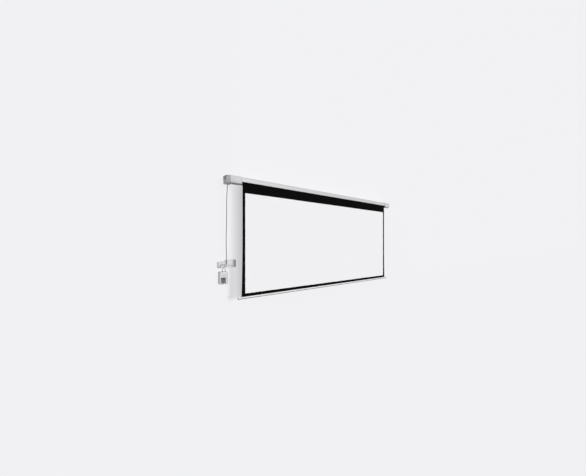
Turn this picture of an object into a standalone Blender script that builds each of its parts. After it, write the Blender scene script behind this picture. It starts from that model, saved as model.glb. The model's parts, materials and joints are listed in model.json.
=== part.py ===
"""Motorised wall projector screen, lowered: case, roller drive, fabric, weight bar and wall control.

Run with blender --background --python part.py, or from the text editor. Metres, +Z up. The wall is the
plane Y = 0, the screen faces -Y, and X runs along the case. The origin is on the wall, between the left
bracket's two bolts.
"""

import math

import bmesh
import bpy
from mathutils import Euler, Vector

# Clearances
FIT_GAP = 0.0003  # between faces that touch
RUN_GAP = 0.0005  # round a piece that turns
WELD = 0.000001

# Picture and fabric
PICTURE_WIDTH = 2.337
PICTURE_HEIGHT = 0.995
SIDE_BORDER = 0.029
SIDE_FLARE = 0.010  # how much wider each border is at the weight bar
FLARE_HEIGHT = 0.60
TOP_LEADER = 0.105  # black between the case and the picture
BOTTOM_BORDER = 0.031
FABRIC_THICKNESS = 0.0006
FABRIC_DEPTH = 0.009  # behind the case's front face

# Case, a bent sheet open at the bottom of its front
CASE_DEPTH = 0.120
CASE_TOP = 0.018  # of its front edge
CASE_HEIGHT = 0.0665  # of its front
CASE_WALL = 0.0012
CASE_BEND = 0.0018
TOP_CHAMFER = 0.006
TOP_RISE = 0.0167  # from the front top edge to the flat top behind it
TOP_BREAK = 0.062  # depth where that flat starts
BACK_CHAMFER = 0.005
FOOT_FLAT = 0.045  # depth of the underside's front part
FOOT_BACK = 0.088  # depth where its raised back part starts
FOOT_RISE = 0.0135
LIP_HEIGHT = 0.0205  # from the case's underside to its front lip
LIP_HEM = 0.008
LIP_HEM_DEPTH = 0.0036
APRON_DEPTH = 0.0135
APRON_HEIGHT = 0.008
APRON_FOOT = 0.020

# End caps
END_ROOM = 0.127  # from the fabric's top corners to the caps' ends
SCREEN_LENGTH = PICTURE_WIDTH + 2 * (SIDE_BORDER + END_ROOM)
CAP_LENGTH = 0.1165
CAP_WALL = 0.0025
CAP_EDGE = 0.0022
CAP_SCREW_INSET = 0.008
CAP_SCREW_HEIGHT = 0.0383
CAP_SCREW_HEAD = 0.0042
CAP_SCREW_RADIUS = 0.0018

# End plates and roller
PLATE_THICKNESS = 0.003
ROLLER_RADIUS = 0.022
ROLLER_WALL = 0.0012
ROLLER_OVERHANG = 0.020  # past the fabric's top corners
ROLLER_HEIGHT = 0.032  # of the axis above the case's underside
WRAP_TURNS = 2.5
WRAP_GAP = 0.00045

# Tubular motor
HEAD_LENGTH = 0.019
HEAD_RADIUS = 0.0195
PEG_SIDE = 0.010
PEG_REACH = 0.009  # past the plate
CLIP_RADIUS = 0.0088
CLIP_THICKNESS = 0.0014
MOTOR_RADIUS = 0.0158
MOTOR_LENGTH = 0.47
MOTOR_NOSE = 0.006
SHAFT_RADIUS = 0.005
SHAFT_REACH = 0.024
FLANGE_THICKNESS = 0.0024
CROWN_LENGTH = 0.022
WHEEL_THICKNESS = 0.014
WHEEL_LOBES = 10
LEAD_RADIUS = 0.003
LEAD_OFFSET = 0.0140  # from the motor's axis

# Idler end
PLUG_LENGTH = 0.035
PIN_RADIUS = 0.005
PIN_REACH = 0.009
COLLAR_RADIUS = 0.0085
BUSH_WALL = 0.0025
BUSH_LENGTH = 0.022

# Weight bar
BAR_OVERHANG = 0.0475  # past the fabric's top corners
BAR_LENGTH = PICTURE_WIDTH + 2 * (SIDE_BORDER + BAR_OVERHANG)
BAR_HEIGHT = 0.022
BAR_DEPTH = 0.016
BAR_WALL = 0.0014
BAR_SLOT = 0.0034
BAR_SPLIT = -0.0005  # of the section's height, where the strip below it starts
BAR_CAP_FLANGE = 0.004
BAR_CAP_SPIGOT = 0.018
ROD_RADIUS = 0.0034

# Wall brackets
BRACKET_INSET = 0.020  # from the cap's end to the middle of the bracket
BRACKET_WIDTH = 0.060
BRACKET_TOP = 0.045  # over the origin
BRACKET_FOOT = 0.036  # under it
BRACKET_WALL = 0.003
BRACKET_BEND = 0.005
STAND_OFF = 0.052  # from the wall to the case's back
ARM_REACH = 0.054  # from the wall to the bends down to the case's top
ARM_STEP = 0.006
FOOT_LENGTH = 0.028
BACK_FLANGE = 0.030
WALL_BOLT_HIGH = 0.026
WALL_BOLT_LOW = -0.021
WALL_BOLT_RADIUS = 0.003
WALL_BOLT_HEAD = 0.0075
WALL_BOLT_WASHER = 0.0095
WASHER_THICKNESS = 0.0016
FOOT_SCREW_RADIUS = 0.0025
FOOT_SCREW_HEAD = 0.0048

# Cord
CORD_DIAMETER = 0.007
GLAND_INSET = 0.0095  # from the cap's end
GLAND_SETBACK = 0.0125  # in front of the case's back
GLAND_LENGTH = 0.020
GLAND_SHANK = 0.009  # above the case's underside
GLAND_RADIUS = 0.0072
GLAND_THROAT = 0.0050

# Receiver box on the wall
RECEIVER_WIDTH = 0.1035
RECEIVER_HEIGHT = 0.0755
RECEIVER_DEPTH = 0.036
RECEIVER_BASE_DEPTH = 0.011
RECEIVER_WALL = 0.002
RECEIVER_CORNER = 0.005
RECEIVER_LEFT = -0.0140
RECEIVER_TOP = -0.797
BOARD_MARGIN = 0.004
BOARD_THICKNESS = 0.0016
GROOVE_LENGTH = 0.062
GROOVE_HEIGHT = 0.003
GROOVE_CUT = 0.001
RECEIVER_GROOVE_X = 0.031
RECEIVER_GROOVE_Z = -0.853

# Junction box left of the receiver
JUNCTION_LEFT = -0.0926
JUNCTION_TOP = -0.8135
JUNCTION_HEIGHT = 0.062
JUNCTION_TAPER = 0.009  # of its left, top and bottom sides towards the front
JUNCTION_CORNER = 0.006
JUNCTION_SKIRT = 0.014  # of its sides at the wall, straight

# Junction on that box's front
HUB_X = -0.046
HUB_Z = -0.857
HUB_RADIUS = 0.026
HUB_DEPTH = 0.016
HUB_POCKET = 0.003  # the seat of the cap
HUB_WALL = 0.003
HUB_COLLAR = 0.006
HUB_COLLAR_TOP = -0.842
HUB_COLLAR_FOOT = -0.862
CORD_ENTRY_X = -0.0108
CORD_Y = -0.0428
LEAD_DIAMETER = 0.0052
LEAD_LEFT_X = -0.0515
LEAD_RIGHT_X = -0.0235
LEAD_COLLAR_DROP = 0.004  # below the hub's rim

# Wall switch
SWITCH_X = -0.043
SWITCH_TOP = -0.911
SWITCH_WIDTH = 0.080
SWITCH_HEIGHT = 0.124
SWITCH_DEPTH = 0.064
SWITCH_PLATE_DEPTH = 0.0085
SWITCH_WALL = 0.002
SWITCH_BOX_MARGIN = 0.0015
SWITCH_CORNER = 0.005
KEYS_X = -0.050
KEYS_Z = -0.995
KEY_WIDTH = 0.0181
KEY_HEIGHT = 0.052
KEY_BAR = 0.0019  # of the plate between the keys
KEY_SIDE_GAP = 0.0005
KEY_END_GAP = 0.0017
KEY_PROUD = 0.0035
KEY_DISH = 0.0016
KEY_THICKNESS = 0.008
KEY_PIVOT_DEPTH = 0.0125  # behind the plate's front
TRUNNION_RADIUS = 0.0015
TRUNNION_REACH = 0.0008
MODULE_THICKNESS = 0.012
MODULE_RIM = 0.0032
PLATE_SCREW_RADIUS = 0.0017
PLATE_SCREW_HEAD = 0.0032
PLATE_SCREW_INSET = 0.007
PLATE_GROOVE_DROP = 0.0365  # below the switch's top

# Places that follow from the sizes above
LEFT_END = -BRACKET_INSET
RIGHT_END = LEFT_END + SCREEN_LENGTH
MIDDLE_X = (LEFT_END + RIGHT_END) / 2
CAP_GROW = FIT_GAP + CAP_WALL
CASE_FRONT = -STAND_OFF - CASE_DEPTH
CASE_FOOT = CASE_TOP - CASE_HEIGHT
LIP_Z = CASE_FOOT + LIP_HEIGHT
FABRIC_Y = CASE_FRONT + FABRIC_DEPTH
WRAP_PITCH = FABRIC_THICKNESS + WRAP_GAP
WRAP_START = ROLLER_RADIUS + FIT_GAP + FABRIC_THICKNESS / 2
WRAP_END = WRAP_START + WRAP_TURNS * WRAP_PITCH
AXIS_Y = FABRIC_Y + WRAP_END
AXIS_Z = CASE_FOOT + ROLLER_HEIGHT
ROLLER_HALF = PICTURE_WIDTH / 2 + SIDE_BORDER + ROLLER_OVERHANG
ROLLER_LEFT = MIDDLE_X - ROLLER_HALF
ROLLER_RIGHT = MIDDLE_X + ROLLER_HALF
BORE_RADIUS = ROLLER_RADIUS - ROLLER_WALL
HEAD_RIGHT = ROLLER_LEFT - FLANGE_THICKNESS - 2 * FIT_GAP
HEAD_LEFT = HEAD_RIGHT - HEAD_LENGTH
PICTURE_TOP = LIP_Z - TOP_LEADER
BAR_TOP = PICTURE_TOP - PICTURE_HEIGHT - BOTTOM_BORDER
BAR_Z = BAR_TOP - BAR_HEIGHT / 2
ROD_Z = BAR_TOP - BAR_WALL - FIT_GAP - ROD_RADIUS
GLAND_X = LEFT_END + GLAND_INSET
GLAND_Y = -STAND_OFF - GLAND_SETBACK
GLAND_TOP = CASE_FOOT + FOOT_RISE - CAP_GROW - FIT_GAP
GLAND_END = GLAND_TOP - GLAND_LENGTH
RECEIVER_X = RECEIVER_LEFT + RECEIVER_WIDTH / 2
RECEIVER_Z = RECEIVER_TOP - RECEIVER_HEIGHT / 2
LEAD_TOP = HUB_Z - HUB_RADIUS - LEAD_COLLAR_DROP
SWITCH_Z = SWITCH_TOP - SWITCH_HEIGHT / 2
PIVOT_Y = -SWITCH_DEPTH + KEY_PIVOT_DEPTH
KEY_PITCH = KEY_WIDTH + 2 * KEY_SIDE_GAP + KEY_BAR

# Turns that lay a piece's own Z along a world axis
UP = Euler((0, 0, 0))
ALONG_X = Euler((math.pi / 2, 0, math.pi / 2))  # its X and Y lie along Y and Z
FACING = Euler((math.pi / 2, 0, 0))  # its Z points to the front, its X and Y lie along X and Z

parts = bpy.data.collections.new("projector_screen")
cutters = bpy.data.collections.new("cutters")


def clear_scene():
    """Empties the scene and adds the two collections."""
    for old in list(bpy.data.objects):
        bpy.data.objects.remove(old)
    for collection in (parts, cutters):
        bpy.context.scene.collection.children.link(collection)


def finish(name, colour, roughness, metallic=0.0):
    """A Principled material of one colour."""
    material = bpy.data.materials.new(name)
    material.use_nodes = True
    shader = material.node_tree.nodes["Principled BSDF"]
    shader.inputs["Base Color"].default_value = (*colour, 1)
    shader.inputs["Roughness"].default_value = roughness
    shader.inputs["Metallic"].default_value = metallic
    return material


def guide(name, at):
    """An empty that carries the pieces of one moving body, on its joint's axis."""
    empty = bpy.data.objects.new(name, None)
    empty.empty_display_size = 0.05
    empty.location = at
    parts.objects.link(empty)
    return empty


def add(name, mesh, material, at=(0, 0, 0), turn=UP, parent=None):
    """The object of a mesh, placed in the world and carried by its parent."""
    piece = bpy.data.objects.new(name, mesh)
    mesh.materials.clear()
    mesh.materials.append(material)
    piece.rotation_euler = turn
    piece.location = Vector(at) - (parent.location if parent else Vector())
    piece.parent = parent
    parts.objects.link(piece)
    return piece


def tool(name, mesh, at, turn=UP):
    """A helper that cuts or joins other pieces and is left out of the render."""
    helper = bpy.data.objects.new(name, mesh)
    helper.location = at
    helper.rotation_euler = turn
    helper.hide_render = True
    helper.display_type = "WIRE"
    cutters.objects.link(helper)
    return helper


def boolean(piece, helper, operation="DIFFERENCE"):
    """Cuts the helper from the piece, or joins it on."""
    modifier = piece.modifiers.new(helper.name, "BOOLEAN")
    modifier.operation = operation
    modifier.object = helper


def thicken(piece, thickness, offset=-1.0):
    """Gives an open surface its wall, on the side away from its normals at offset -1."""
    modifier = piece.modifiers.new("wall", "SOLIDIFY")
    modifier.thickness = thickness
    modifier.offset = offset
    modifier.use_even_offset = True


def soften(piece, width, segments=2, angle=35):
    """Rounds the edges that are sharper than the angle, in degrees."""
    modifier = piece.modifiers.new("edges", "BEVEL")
    modifier.width = width
    modifier.segments = segments
    modifier.limit_method = "ANGLE"
    modifier.angle_limit = math.radians(angle)


def smooth(mesh, angle=35):
    """Shades the round faces smooth and keeps the corners sharp."""
    mesh.shade_smooth()
    mesh.set_sharp_from_angle(angle=math.radians(angle))
    return mesh


def counter_clockwise(outline):
    """The outline, turned round if it runs clockwise."""
    area = 0.0
    for (u, v), (next_u, next_v) in zip(outline, outline[1:] + outline[:1]):
        area += u * next_v - next_u * v
    return outline if area > 0 else outline[::-1]


def rounded(corners, radius, steps=3, closed=True):
    """The corners with an arc of the radius in place of each, apart from the ends of an open path."""
    outline = []
    last = len(corners) - 1
    for i, corner in enumerate(corners):
        if not closed and i in (0, last):
            outline.append(tuple(corner))
            continue
        here = Vector(corner)
        back = Vector(corners[i - 1]) - here
        ahead = Vector(corners[(i + 1) % len(corners)]) - here
        half = back.angle(ahead) / 2
        reach = min(radius / math.tan(half), 0.49 * back.length, 0.49 * ahead.length)
        to_centre = reach / math.cos(half)
        centre = here + (back.normalized() + ahead.normalized()).normalized() * to_centre
        arm = here + back.normalized() * reach - centre
        sweep = math.pi - 2 * half
        turning_left = back.x * ahead.y - back.y * ahead.x < 0
        start = math.atan2(arm.y, arm.x)
        for k in range(steps + 1):
            angle = start + (sweep if turning_left else -sweep) * k / steps
            outline.append((centre.x + arm.length * math.cos(angle), centre.y + arm.length * math.sin(angle)))
    return outline


def rectangle(width, height, centre=(0, 0)):
    """The corners of a rectangle."""
    u, v = centre
    half_u, half_v = width / 2, height / 2
    left, right, low, high = u - half_u, u + half_u, v - half_v, v + half_v
    return [(left, low), (right, low), (right, high), (left, high)]


def circle(radius, centre=(0, 0), steps=24):
    """Points round a circle."""
    angles = [2 * math.pi * k / steps for k in range(steps)]
    return [(centre[0] + radius * math.cos(a), centre[1] + radius * math.sin(a)) for a in angles]


def mesh_of_curve(curve):
    """The mesh of a curve, its caps welded to its sides."""
    outline = bpy.data.objects.new("outline", curve)
    bpy.context.scene.collection.objects.link(outline)
    bpy.context.view_layer.update()
    graph = bpy.context.evaluated_depsgraph_get()
    mesh = bpy.data.meshes.new_from_object(outline.evaluated_get(graph))
    bpy.data.objects.remove(outline)
    shape = bmesh.new()
    shape.from_mesh(mesh)
    bmesh.ops.remove_doubles(shape, verts=shape.verts, dist=WELD)
    bmesh.ops.recalc_face_normals(shape, faces=shape.faces)
    shape.to_mesh(mesh)
    shape.free()
    return mesh


def flat(name, outlines, thickness):
    """A plate: the first outline less the others, as thick along its Z, half on each side."""
    curve = bpy.data.curves.new(name, "CURVE")
    curve.dimensions = "2D"
    curve.fill_mode = "BOTH"
    curve.extrude = thickness / 2
    for outline in outlines:
        spline = curve.splines.new("POLY")
        spline.points.add(len(outline) - 1)
        for point, (u, v) in zip(spline.points, outline):
            point.co = (u, v, 0, 1)
        spline.use_cyclic_u = True
    return mesh_of_curve(curve)


def tube(name, points, diameter, material, resolution=2):
    """A cord: a round tube along the points."""
    curve = bpy.data.curves.new(name, "CURVE")
    curve.dimensions = "3D"
    curve.bevel_depth = diameter / 2
    curve.bevel_resolution = resolution
    curve.use_fill_caps = True
    curve.materials.append(material)
    spline = curve.splines.new("POLY")
    spline.points.add(len(points) - 1)
    for point, place in zip(spline.points, points):
        point.co = (*place, 1)
    spline.use_smooth = True
    piece = bpy.data.objects.new(name, curve)
    parts.objects.link(piece)
    return piece


def turned(name, profile, steps=32, ring=False):
    """A mesh and its Screw: a profile of (radius, height) points that runs down its outer side."""
    mesh = bpy.data.meshes.new(name)
    count = len(profile)
    edges = [(i, (i + 1) % count) for i in range(count if ring else count - 1)]
    mesh.from_pydata([(radius, 0, height) for radius, height in profile], edges, [])
    return mesh, steps


def lathe(name, profile, material, at, turn=ALONG_X, parent=None, steps=32, ring=False):
    """A turned piece."""
    mesh, steps = turned(name, profile, steps, ring)
    piece = add(name, mesh, material, at, turn, parent)
    spin(piece, steps)
    return piece


def spin(piece, steps):
    """Turns the profile right round its Z."""
    modifier = piece.modifiers.new("turn", "SCREW")
    modifier.axis = "Z"
    modifier.steps = steps
    modifier.render_steps = steps
    modifier.use_merge_vertices = True
    modifier.merge_threshold = 0.00001
    modifier.use_smooth_shade = True


def rod(name, radius, length, steps=24):
    """A cylinder along its Z."""
    mesh = bpy.data.meshes.new(name)
    shape = bmesh.new()
    bmesh.ops.create_cone(shape, cap_ends=True, segments=steps, radius1=radius, radius2=radius, depth=length)
    shape.to_mesh(mesh)
    shape.free()
    return smooth(mesh)


def block(name, size):
    """A box."""
    mesh = bpy.data.meshes.new(name)
    shape = bmesh.new()
    bmesh.ops.create_cube(shape, size=1.0)
    bmesh.ops.scale(shape, vec=size, verts=shape.verts)
    shape.to_mesh(mesh)
    shape.free()
    return mesh


def open_box(name, outline, length, closed="low", far=None, skirt=0.0):
    """The sides of an outline, pushed along its Z, with one end closed.

    With a far outline, the sides are straight over the skirt and then run to that outline.
    """
    rings = [(outline, 0), (outline, length)] if far is None else [(outline, 0), (outline, skirt), (far, length)]
    mesh = bpy.data.meshes.new(name)
    shape = bmesh.new()
    loops = [[shape.verts.new((u, v, height)) for u, v in counter_clockwise(ring)] for ring, height in rings]
    for low, high in zip(loops, loops[1:]):
        for i in range(len(outline)):
            j = (i + 1) % len(outline)
            shape.faces.new((low[i], low[j], high[j], high[i]))
    shape.faces.new(loops[0][::-1] if closed == "low" else loops[-1])
    shape.to_mesh(mesh)
    shape.free()
    return mesh


def strip(name, path, length):
    """An open surface: the path pushed along its Z. Its normals are the path's direction cross that Z."""
    mesh = bpy.data.meshes.new(name)
    shape = bmesh.new()
    low = [shape.verts.new((u, v, 0)) for u, v in path]
    high = [shape.verts.new((u, v, length)) for u, v in path]
    for i in range(len(path) - 1):
        shape.faces.new((low[i], low[i + 1], high[i + 1], high[i]))
    shape.to_mesh(mesh)
    shape.free()
    return mesh


def in_case(points):
    """(Depth, height) points in the case's section as (Y, Z) in the world."""
    return [(CASE_FRONT + depth, CASE_FOOT + height) for depth, height in points]


def case_back():
    """The corners of the case's section from its front top edge round the back to its underside."""
    top = CASE_HEIGHT + TOP_RISE
    return [
        (0, CASE_HEIGHT - TOP_CHAMFER),
        (TOP_CHAMFER, CASE_HEIGHT),
        (TOP_BREAK, top),
        (CASE_DEPTH - BACK_CHAMFER, top),
        (CASE_DEPTH, top - BACK_CHAMFER),
        (CASE_DEPTH, FOOT_RISE + BACK_CHAMFER),
        (CASE_DEPTH - BACK_CHAMFER, FOOT_RISE),
        (FOOT_BACK, FOOT_RISE),
        (FOOT_FLAT, 0),
    ]


def case_path():
    """The outside of the case's sheet, from the hem of its front lip round to the top of its apron."""
    lip = [(LIP_HEM_DEPTH, LIP_HEIGHT + LIP_HEM), (LIP_HEM_DEPTH, LIP_HEIGHT), (0, LIP_HEIGHT)]
    return [*lip, *case_back(), (APRON_FOOT, 0), (APRON_DEPTH, APRON_HEIGHT)]


def grown(outline, distance):
    """The outline with its sides moved out by the distance, or in if that is negative."""
    outline = counter_clockwise(outline)
    moved = []
    for i, corner in enumerate(outline):
        here = Vector(corner)
        back = (here - Vector(outline[i - 1])).normalized()
        ahead = (Vector(outline[(i + 1) % len(outline)]) - here).normalized()
        middle = Vector((back.y + ahead.y, -back.x - ahead.x)).normalized()
        moved.append(tuple(here + middle * distance / middle.dot(Vector((back.y, -back.x)))))
    return moved


def cap_outline(grow):
    """The end cap's section: the case's, with a closed front, moved out by grow."""
    return grown([(0, 0), *case_back()], grow)


def plate_outline():
    """The section inside the case's sheet, clear of the hem and the apron."""
    hem = LIP_HEM_DEPTH + CASE_WALL
    section = [(hem, LIP_HEIGHT), (hem, CASE_HEIGHT - TOP_CHAMFER), *case_back()[1:]]
    return grown([*section, (APRON_FOOT, 0), (APRON_DEPTH, APRON_HEIGHT)], -CASE_WALL - FIT_GAP)


def fabric_half_width(z):
    """Half the fabric's width at a height: straight at the top and flared towards the bar."""
    low = BAR_TOP
    share = min(1.0, max(0.0, 1 - (z - low) / FLARE_HEIGHT))
    return PICTURE_WIDTH / 2 + SIDE_BORDER + SIDE_FLARE * share * share


def smooth_route(points, spacing):
    """Points along a Catmull-Rom curve through the route, about the spacing apart."""
    route = [Vector(p) for p in points]
    route = [2 * route[0] - route[1], *route, 2 * route[-1] - route[-2]]
    line = []
    for a, b, c, d in zip(route, route[1:], route[2:], route[3:]):
        count = max(1, round((c - b).length / spacing))
        for k in range(count):
            t = k / count
            line.append(
                0.5 * (2 * b + (c - a) * t + (2 * a - 5 * b + 4 * c - d) * t**2 + (3 * b - a - 3 * c + d) * t**3)
            )
    line.append(route[-2])
    return line


def screw_profile(head_radius, head_height, shank_radius, shank_length, socket=0.35):
    """A pan head with a recess, its underside at height 0 and its shank below."""
    dip = head_height * 0.45
    return [
        (0, head_height - dip), (head_radius * socket, head_height - dip),
        (head_radius * socket, head_height),
        (head_radius * 0.72, head_height), (head_radius, head_height * 0.45), (head_radius, 0),
        (shank_radius, 0), (shank_radius, -shank_length), (0, -shank_length),
    ]


def make_materials():
    """One material for each finish."""
    return {
        "case": finish("white_enamel", (0.72, 0.72, 0.73), 0.42),
        "cap": finish("white_moulding", (0.68, 0.68, 0.69), 0.5),
        "steel": finish("zinc_steel", (0.55, 0.56, 0.58), 0.35, 1.0),
        "bracket": finish("bracket_enamel", (0.62, 0.62, 0.63), 0.45),
        "dark_steel": finish("dark_bolt", (0.07, 0.07, 0.075), 0.4, 0.6),
        "roller": finish("roller_aluminium", (0.7, 0.71, 0.73), 0.3, 1.0),
        "motor": finish("motor_steel", (0.25, 0.26, 0.28), 0.4, 0.8),
        "nylon": finish("black_nylon", (0.03, 0.03, 0.032), 0.55),
        "bush": finish("acetal_bush", (0.75, 0.74, 0.7), 0.5),
        "fabric": finish("screen_fabric", (0.85, 0.85, 0.86), 0.85),
        "wound": finish("black_backing", (0.02, 0.02, 0.02), 0.8),
        "bar": finish("bar_enamel", (0.74, 0.74, 0.75), 0.4),
        "bumper": finish("bar_bumper", (0.5, 0.5, 0.51), 0.6),
        "bar_cap": finish("bar_cap_grey", (0.2, 0.2, 0.21), 0.5),
        "cord": finish("cord_sheath", (0.33, 0.33, 0.34), 0.55),
        "gland": finish("gland_grey", (0.45, 0.45, 0.46), 0.5),
        "housing": finish("control_housing", (0.7, 0.7, 0.71), 0.5),
        "hub": finish("junction_grey", (0.5, 0.5, 0.51), 0.5),
        "board": finish("circuit_board", (0.05, 0.22, 0.1), 0.5),
        "plate": finish("switch_plate", (0.74, 0.74, 0.75), 0.4),
        "key": finish("switch_key", (0.06, 0.06, 0.065), 0.4),
    }


def make_case(finishes):
    """The bent sheet, the two end caps and their screws."""
    shell_end = LEFT_END + CAP_WALL + FIT_GAP
    shell_length = SCREEN_LENGTH - 2 * (CAP_WALL + FIT_GAP)
    path = in_case(rounded(case_path(), CASE_BEND, closed=False))
    sheet = strip("case_shell", path, shell_length)
    shell = add("case_shell", sheet, finishes["case"], (shell_end, 0, 0), ALONG_X)
    thicken(shell, CASE_WALL, offset=1.0)

    outline = in_case(cap_outline(CAP_GROW))
    ends = {
        "left": (LEFT_END, "low", LEFT_END + CAP_LENGTH - CAP_SCREW_INSET),
        "right": (RIGHT_END - CAP_LENGTH, "high", RIGHT_END - CAP_LENGTH + CAP_SCREW_INSET),
    }
    for side, (start, closed, screw_x) in ends.items():
        mesh = open_box("end_cap_" + side, outline, CAP_LENGTH, closed)
        cap = add("end_cap_" + side, mesh, finishes["cap"], (start, 0, 0), ALONG_X)
        soften(cap, CAP_EDGE)
        thicken(cap, CAP_WALL)
        screw_at = (screw_x, CASE_FRONT - CAP_GROW - FIT_GAP, CASE_FOOT + CAP_SCREW_HEIGHT)
        shank = CAP_GROW + CASE_WALL + 2 * FIT_GAP
        profile = screw_profile(CAP_SCREW_HEAD, CAP_SCREW_HEAD * 0.5, CAP_SCREW_RADIUS, shank)
        lathe("cap_screw_" + side, profile, finishes["dark_steel"], screw_at, FACING, steps=16)
        hole_mesh = rod("cap_hole_" + side, CAP_SCREW_RADIUS + FIT_GAP, 6 * CAP_WALL, 16)
        hole = tool("cap_hole_" + side, hole_mesh, screw_at, FACING)
        boolean(cap, hole)
        boolean(shell, hole)
        if side == "left":
            gland_mesh = rod("gland_hole", GLAND_THROAT + FIT_GAP, 8 * CAP_WALL)
            gland_hole = tool("gland_hole", gland_mesh, (GLAND_X, GLAND_Y, GLAND_TOP))
            boolean(cap, gland_hole)
            boolean(shell, gland_hole)


def on_axis(x):
    """A point on the roller's axis."""
    return (x, AXIS_Y, AXIS_Z)


def make_motor(finishes, roller):
    """The tubular motor in the roller's left end, with its plate, crown, drive wheel and lead."""
    plate_x = HEAD_LEFT - FIT_GAP - PLATE_THICKNESS / 2
    lead_y = AXIS_Y + LEAD_OFFSET
    peg_hole = rectangle(PEG_SIDE + 2 * FIT_GAP, PEG_SIDE + 2 * FIT_GAP, (AXIS_Y, AXIS_Z))
    lead_hole = circle(LEAD_RADIUS + 2 * FIT_GAP, (lead_y, AXIS_Z), 16)
    outline = [in_case(plate_outline()), peg_hole, lead_hole]
    plate_mesh = flat("motor_plate", outline, PLATE_THICKNESS)
    add("motor_plate", plate_mesh, finishes["steel"], (plate_x, 0, 0), ALONG_X)

    head_profile = [
        (0, HEAD_LENGTH), (HEAD_RADIUS * 0.8, HEAD_LENGTH), (HEAD_RADIUS * 0.8, HEAD_LENGTH * 0.7),
        (HEAD_RADIUS, HEAD_LENGTH * 0.6), (HEAD_RADIUS, 0.001), (HEAD_RADIUS - 0.001, 0), (0, 0),
    ]
    head = lathe("motor_head", head_profile, finishes["motor"], on_axis(HEAD_LEFT))
    peg_length = PLATE_THICKNESS + FIT_GAP + PEG_REACH
    peg_root = HEAD_LENGTH / 4
    peg_mesh = block("motor_peg", (peg_length + peg_root, PEG_SIDE, PEG_SIDE))
    peg = tool("motor_peg", peg_mesh, on_axis(HEAD_LEFT + (peg_root - peg_length) / 2))
    boolean(head, peg, "UNION")

    clip_hole = rectangle(PEG_SIDE + 2 * FIT_GAP, PEG_SIDE + 2 * FIT_GAP)
    clip_x = plate_x - PLATE_THICKNESS / 2 - FIT_GAP - CLIP_THICKNESS / 2
    clip = flat("motor_clip", [circle(CLIP_RADIUS), clip_hole], CLIP_THICKNESS)
    add("motor_clip", clip, finishes["steel"], on_axis(clip_x), ALONG_X)

    body_profile = [
        (0, MOTOR_LENGTH), (SHAFT_RADIUS * 1.8, MOTOR_LENGTH), (MOTOR_RADIUS, MOTOR_LENGTH - MOTOR_NOSE),
        (MOTOR_RADIUS, 0), (0, 0),
    ]
    body_x = HEAD_RIGHT + FIT_GAP
    lathe("motor_body", body_profile, finishes["motor"], on_axis(body_x))

    shaft_x = body_x + MOTOR_LENGTH + FIT_GAP
    shaft_profile = [(0, SHAFT_REACH), (SHAFT_RADIUS, SHAFT_REACH), (SHAFT_RADIUS, 0), (0, 0)]
    lathe("motor_shaft", shaft_profile, finishes["steel"], on_axis(shaft_x), parent=roller, steps=24)

    wheel_outer = BORE_RADIUS - FIT_GAP
    lobes = []
    for k in range(WHEEL_LOBES * 6):
        angle = 2 * math.pi * k / (WHEEL_LOBES * 6)
        radius = wheel_outer if k % 6 in (0, 1, 2, 3) else wheel_outer - 0.0022
        lobes.append((radius * math.cos(angle), radius * math.sin(angle)))
    wheel = flat("drive_wheel", [lobes, circle(SHAFT_RADIUS + FIT_GAP)], WHEEL_THICKNESS)
    wheel_x = shaft_x + SHAFT_REACH - WHEEL_THICKNESS / 2
    add("drive_wheel", wheel, finishes["nylon"], on_axis(wheel_x), ALONG_X, roller)

    crown_bore = MOTOR_RADIUS + RUN_GAP
    crown_profile = [
        (wheel_outer, CROWN_LENGTH), (wheel_outer, FLANGE_THICKNESS), (ROLLER_RADIUS, FLANGE_THICKNESS),
        (ROLLER_RADIUS, 0), (crown_bore, 0), (crown_bore, CROWN_LENGTH),
    ]
    crown_x = ROLLER_LEFT - FLANGE_THICKNESS - FIT_GAP
    lathe("motor_crown", crown_profile, finishes["nylon"], on_axis(crown_x), parent=roller, ring=True)

    lead_start = HEAD_LEFT - FIT_GAP
    run, side, fall = lead_start - GLAND_X, GLAND_Y - lead_y, AXIS_Z - GLAND_TOP
    route = [
        (lead_start, lead_y, AXIS_Z),
        (lead_start - 0.18 * run, lead_y, AXIS_Z),
        (lead_start - 0.45 * run, lead_y + 0.17 * side, AXIS_Z - 0.05 * fall),
        (lead_start - 0.72 * run, lead_y + 0.51 * side, AXIS_Z - 0.10 * fall),
        (GLAND_X + 0.04 * run, GLAND_Y - 0.05 * side, AXIS_Z - 0.25 * fall),
        (GLAND_X, GLAND_Y, AXIS_Z - 0.5 * fall),
        (GLAND_X, GLAND_Y, GLAND_TOP + GLAND_SHANK + FIT_GAP),
    ]
    tube("motor_lead", smooth_route(route, 0.006), 2 * LEAD_RADIUS, finishes["cord"])


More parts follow.
